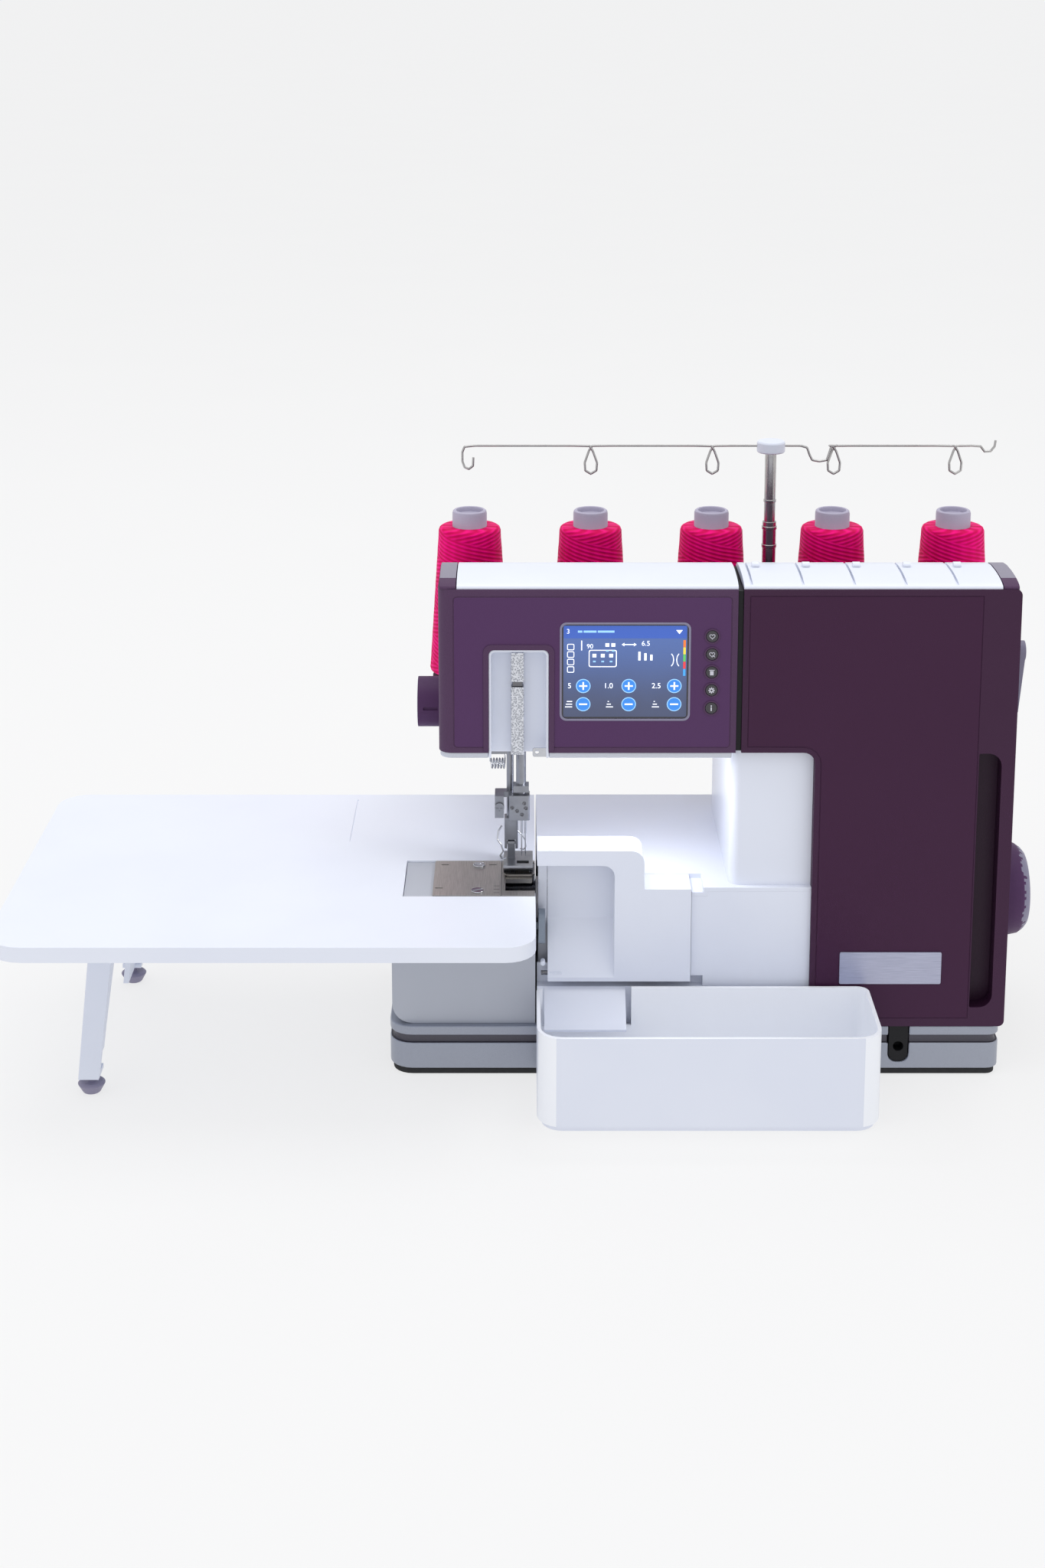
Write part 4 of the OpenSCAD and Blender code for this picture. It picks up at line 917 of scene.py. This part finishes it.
def sewing_details():
    """Set screws, springs and the small guides around the needles."""
    for count, (x, z) in enumerate(((-6.2, 9.4), (-2.8, 7), (0.6, 4.4), (2.2, 12.6), (3.2, 9))):
        screw = drum(f"set_screw_{count + 1}", at(-19.8 + x, 34.2, 174 + z), 1.2, 1.6, "y", 24)
        cut(screw, drum("socket", at(-19.8 + x, 33.3, 174 + z), 0.55, 0.8, "y", 6))
        soften(screw, 0.12, 2)
        dress(screw, DARK_STEEL, "needle_bar")
    coil = [(-41, 30, 224.5), (-41, 31.5, 221)]
    for step in range(63):
        turn = step * 0.5
        coil.append((-41 + step * 0.16, 30 + 3.4 * math.cos(turn), 217 + 3.4 * math.sin(turn)))
    coil += [(-30.8, 28, 222), (-30.8, 29, 226)]
    dress(wire("tension_spring", coil, 0.55, sides=3), BRIGHT, "machine")
    hanger = block("spring_bracket", -43, -29, 27.5, 34, 224.2, 230.9)
    soften(hanger, 0.5, 2)
    dress(hanger, CLAMP, "machine")
    corner = sheet("thread_plate", rounded(-12, -1.1, 231.2, 237.5, 1.4), 2.2, 3.4)
    cut(corner, drum("hole", at(-9, 3, 234.4), 1.3, 4, "y", 24))
    soften(corner, 0.2, 2)
    dress(corner, BRIGHT, "machine")
    spring = [(-33.4, 44, 166), (-35.8, 41, 163), (-36.2, 38, 158), (-33.6, 36.5, 155), (-32.2, 37, 150),
              (-34.4, 38, 146.5), (-33.2, 40, 143.4), (-30.6, 42, 142.6)]
    dress(wire("foot_spring", spring, 0.6, sides=3), BRIGHT, "presser_bar")
    guide_wire = [(-22.2, 47.5, 161), (-19.5, 46.6, 158.5), (-17, 46, 155), (-16.4, 45.4, 150),
                  (-18, 45.4, 148), (-20.5, 45.6, 148.4)]
    dress(wire("needle_thread_wire", guide_wire, 0.45, sides=3), BRIGHT, "presser_bar")
    for x, wide in ((18, 32), (58, 32)):
        lens = block("lamp_lens", x + 0.3, x + wide - 0.3, 4.3, 8.7, 231.3, 234.4)
        soften(lens, 0.4, 2)
        dress(lens, LAMP, "machine")
    pin_profile = [(0.01, 0), (1.5, 0), (1.7, 0.3), (1.7, 5), (1.2, 5.6), (0.01, 5.7)]
    pin = turned("cover_stop_pin", at(-4.9, 2.4, 84), pin_profile, "y", 32)
    dress(pin, SOFT_WHITE, "machine")
    for count, y in enumerate((5.3, -0.5, -6.5)):
        mark = block(f"seam_mark_{count + 1}", -38.5, -34.5, y, y + 0.5, 137.18, 137.215)
        dress(mark, BLACK, "machine")


sewing_details()

# ---------------------------------------------------------------- levers and knobs

def knob_face(middle, normal, corners):
    return middle.x < -91.2


def wheel_face(middle, normal, corners):
    return middle.x > 341


finish_node("lifter_lever", LILAC, 1.2, 3)
finish_node("pressure_knob", VIOLET, 1.2, 3, tints=[(LIGHT_GREY, knob_face)])
finish_node("power_inlet", BLACK, 0.3)
finish_node("power_switch", BLACK, 0.4)
finish_node("cutter_knob", SLATE, 0.8)
finish_node("handwheel", VIOLET, 0.6, 2, tints=[(LILAC, wheel_face)])

# ---------------------------------------------------------------- spool stand

finish_node("spool_tray", FRAME_VIOLET, 0.6)
finish_node("mast_lower", WIRE, 0.3)
finish_node("mast_upper", WIRE, 0.3)


def thread_cone(number):
    """The moulded tube keeps the CAD's shape; the winding is turned anew with its own map."""
    low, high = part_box(f"cone_{number}")
    middle = where(Vector(((low.x + high.x) / 2, (low.y + high.y) / 2, low.z)))
    foot = (high.x - low.x) * 500
    body = nodes[f"cone_{number}"]["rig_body"]
    tube = turned(f"cone_tube_{number}", at(*middle), [
        (7.0, 0.3), (7.3, 0), (17, 0), (17.5, 0.6), (15.6, 3.9), (13.1, 10), (12.95, 126), (12.5, 127.8),
        (11.6, 128.5), (10.3, 128.3), (9.9, 127.4), (9.9, 125), (4.2, 122), (4.1, 119), (4.1, 62),
        (7.0, 58), (7.0, 0.3)])
    dress(tube, LILAC_TUBE, body)
    profile = [(13.0, 4.2), (foot - 1.6, 4.2), (foot - 0.4, 4.9), (foot, 6.4)]
    for step in range(1, 24):
        share = step / 24
        wobble = 0.12 * math.sin(step * 2.1 + number)
        profile.append((foot - 7 * share - 0.15 + wobble * 0.5, 6.4 + share * 105.5))
    profile += [(foot - 7.1, 113), (foot - 7.9, 115), (foot - 9.4, 116), (13.0, 116.1)]
    thread = turned(f"cone_thread_{number}", at(*middle), profile, steps=96)
    layer = thread.data.uv_layers.new(name="winding")
    for face in thread.data.polygons:
        turns = []
        for corner in face.loop_indices:
            point = where(thread.data.vertices[thread.data.loops[corner].vertex_index].co) - middle
            turns.append((corner, math.atan2(point.y, point.x) / (2 * math.pi) % 1, point.z / 1000))
        wrapped = max(turn for _, turn, _ in turns) - min(turn for _, turn, _ in turns) > 0.5
        for corner, turn, rise in turns:
            layer.data[corner].uv = (turn + 1 if wrapped and turn < 0.5 else turn, rise)
    dress(thread, THREAD, body, (f"cone_{number}",))


for cone_number in range(1, 6):
    thread_cone(cone_number)


def eye(x, y, z, lead_in, lead_out):
    """The wire from before x to behind it, with a teardrop eye that hangs down at x."""
    down = [(x - lead_in, y, z), (x - 1, y, z - 0.3), (x + 1.4, y, z - 4), (x + 4.6, y, z - 13)]
    under = [(x + 4.2, y, z - 19), (x, y, z - 21.6), (x - 4.2, y, z - 19), (x - 4.6, y, z - 13)]
    up = [(x - 1.4, y + 1.2, z - 4), (x + 1, y + 1.2, z - 0.4), (x + lead_out, y, z)]
    return down + under + up


def guide():
    """The wire guide: loop, four eyes, a dip beside the mast cap and a hooked end."""
    low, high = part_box("guide_wire")
    low, high = where(low), where(high)
    y = (low.y + high.y) / 2
    x0, z, pitch = -58.6, 403, 91
    mast = x0 + 2.48 * pitch
    path = [(x0 + 3, y, z - 9), (x0 + 2.7, y, z - 15.5), (x0 - 0.4, y, z - 17.9), (x0 - 3.6, y, z - 16.5),
            (x0 - 5.2, y, z - 12), (x0 - 5.2, y, z - 5), (x0 - 3.6, y, z - 0.9), (x0 + 4, y, z)]
    path += eye(x0 + pitch, y, z, 14, 14) + eye(x0 + 2 * pitch, y, z, 14, 14)
    path += [(mast - 4, y, z), (mast + 8, y, z), (mast + 22, y, z), (mast + 27, y, z - 1.5),
             (mast + 29, y, z - 7), (mast + 31, y, z - 11), (mast + 36.5, y, z - 12), (mast + 42, y, z - 11),
             (mast + 43.6, y, z - 6), (mast + 45, y, z - 1), (mast + 50, y, z)]
    path += eye(x0 + 3 * pitch, y, z, 4, 12) + eye(x0 + 4 * pitch, y, z, 14, 12)
    end = high.x
    path += [(end - 12, y, z - 0.6), (end - 9, y, z - 4.5), (end - 4.4, y, z - 4.2), (end - 1.6, y, z - 0.5),
             (end - 1, y, z + 4)]
    body = nodes["guide_wire"]["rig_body"]
    bent = wire("thread_guide_wire", path, 0.9, sides=3)
    dress(bent, WIRE, body, ("guide_wire",))
    cap_profile = [(4.4, 0), (9.6, 0), (10.5, 0.9), (10.5, 7.4), (9.8, 8.6), (8.4, 9), (0.01, 9)]
    cap = turned("mast_cap", at(mast, y, z - 5), cap_profile)
    soften(cap, 0.2, 2)
    dress(cap, SOFT_WHITE, body)


guide()
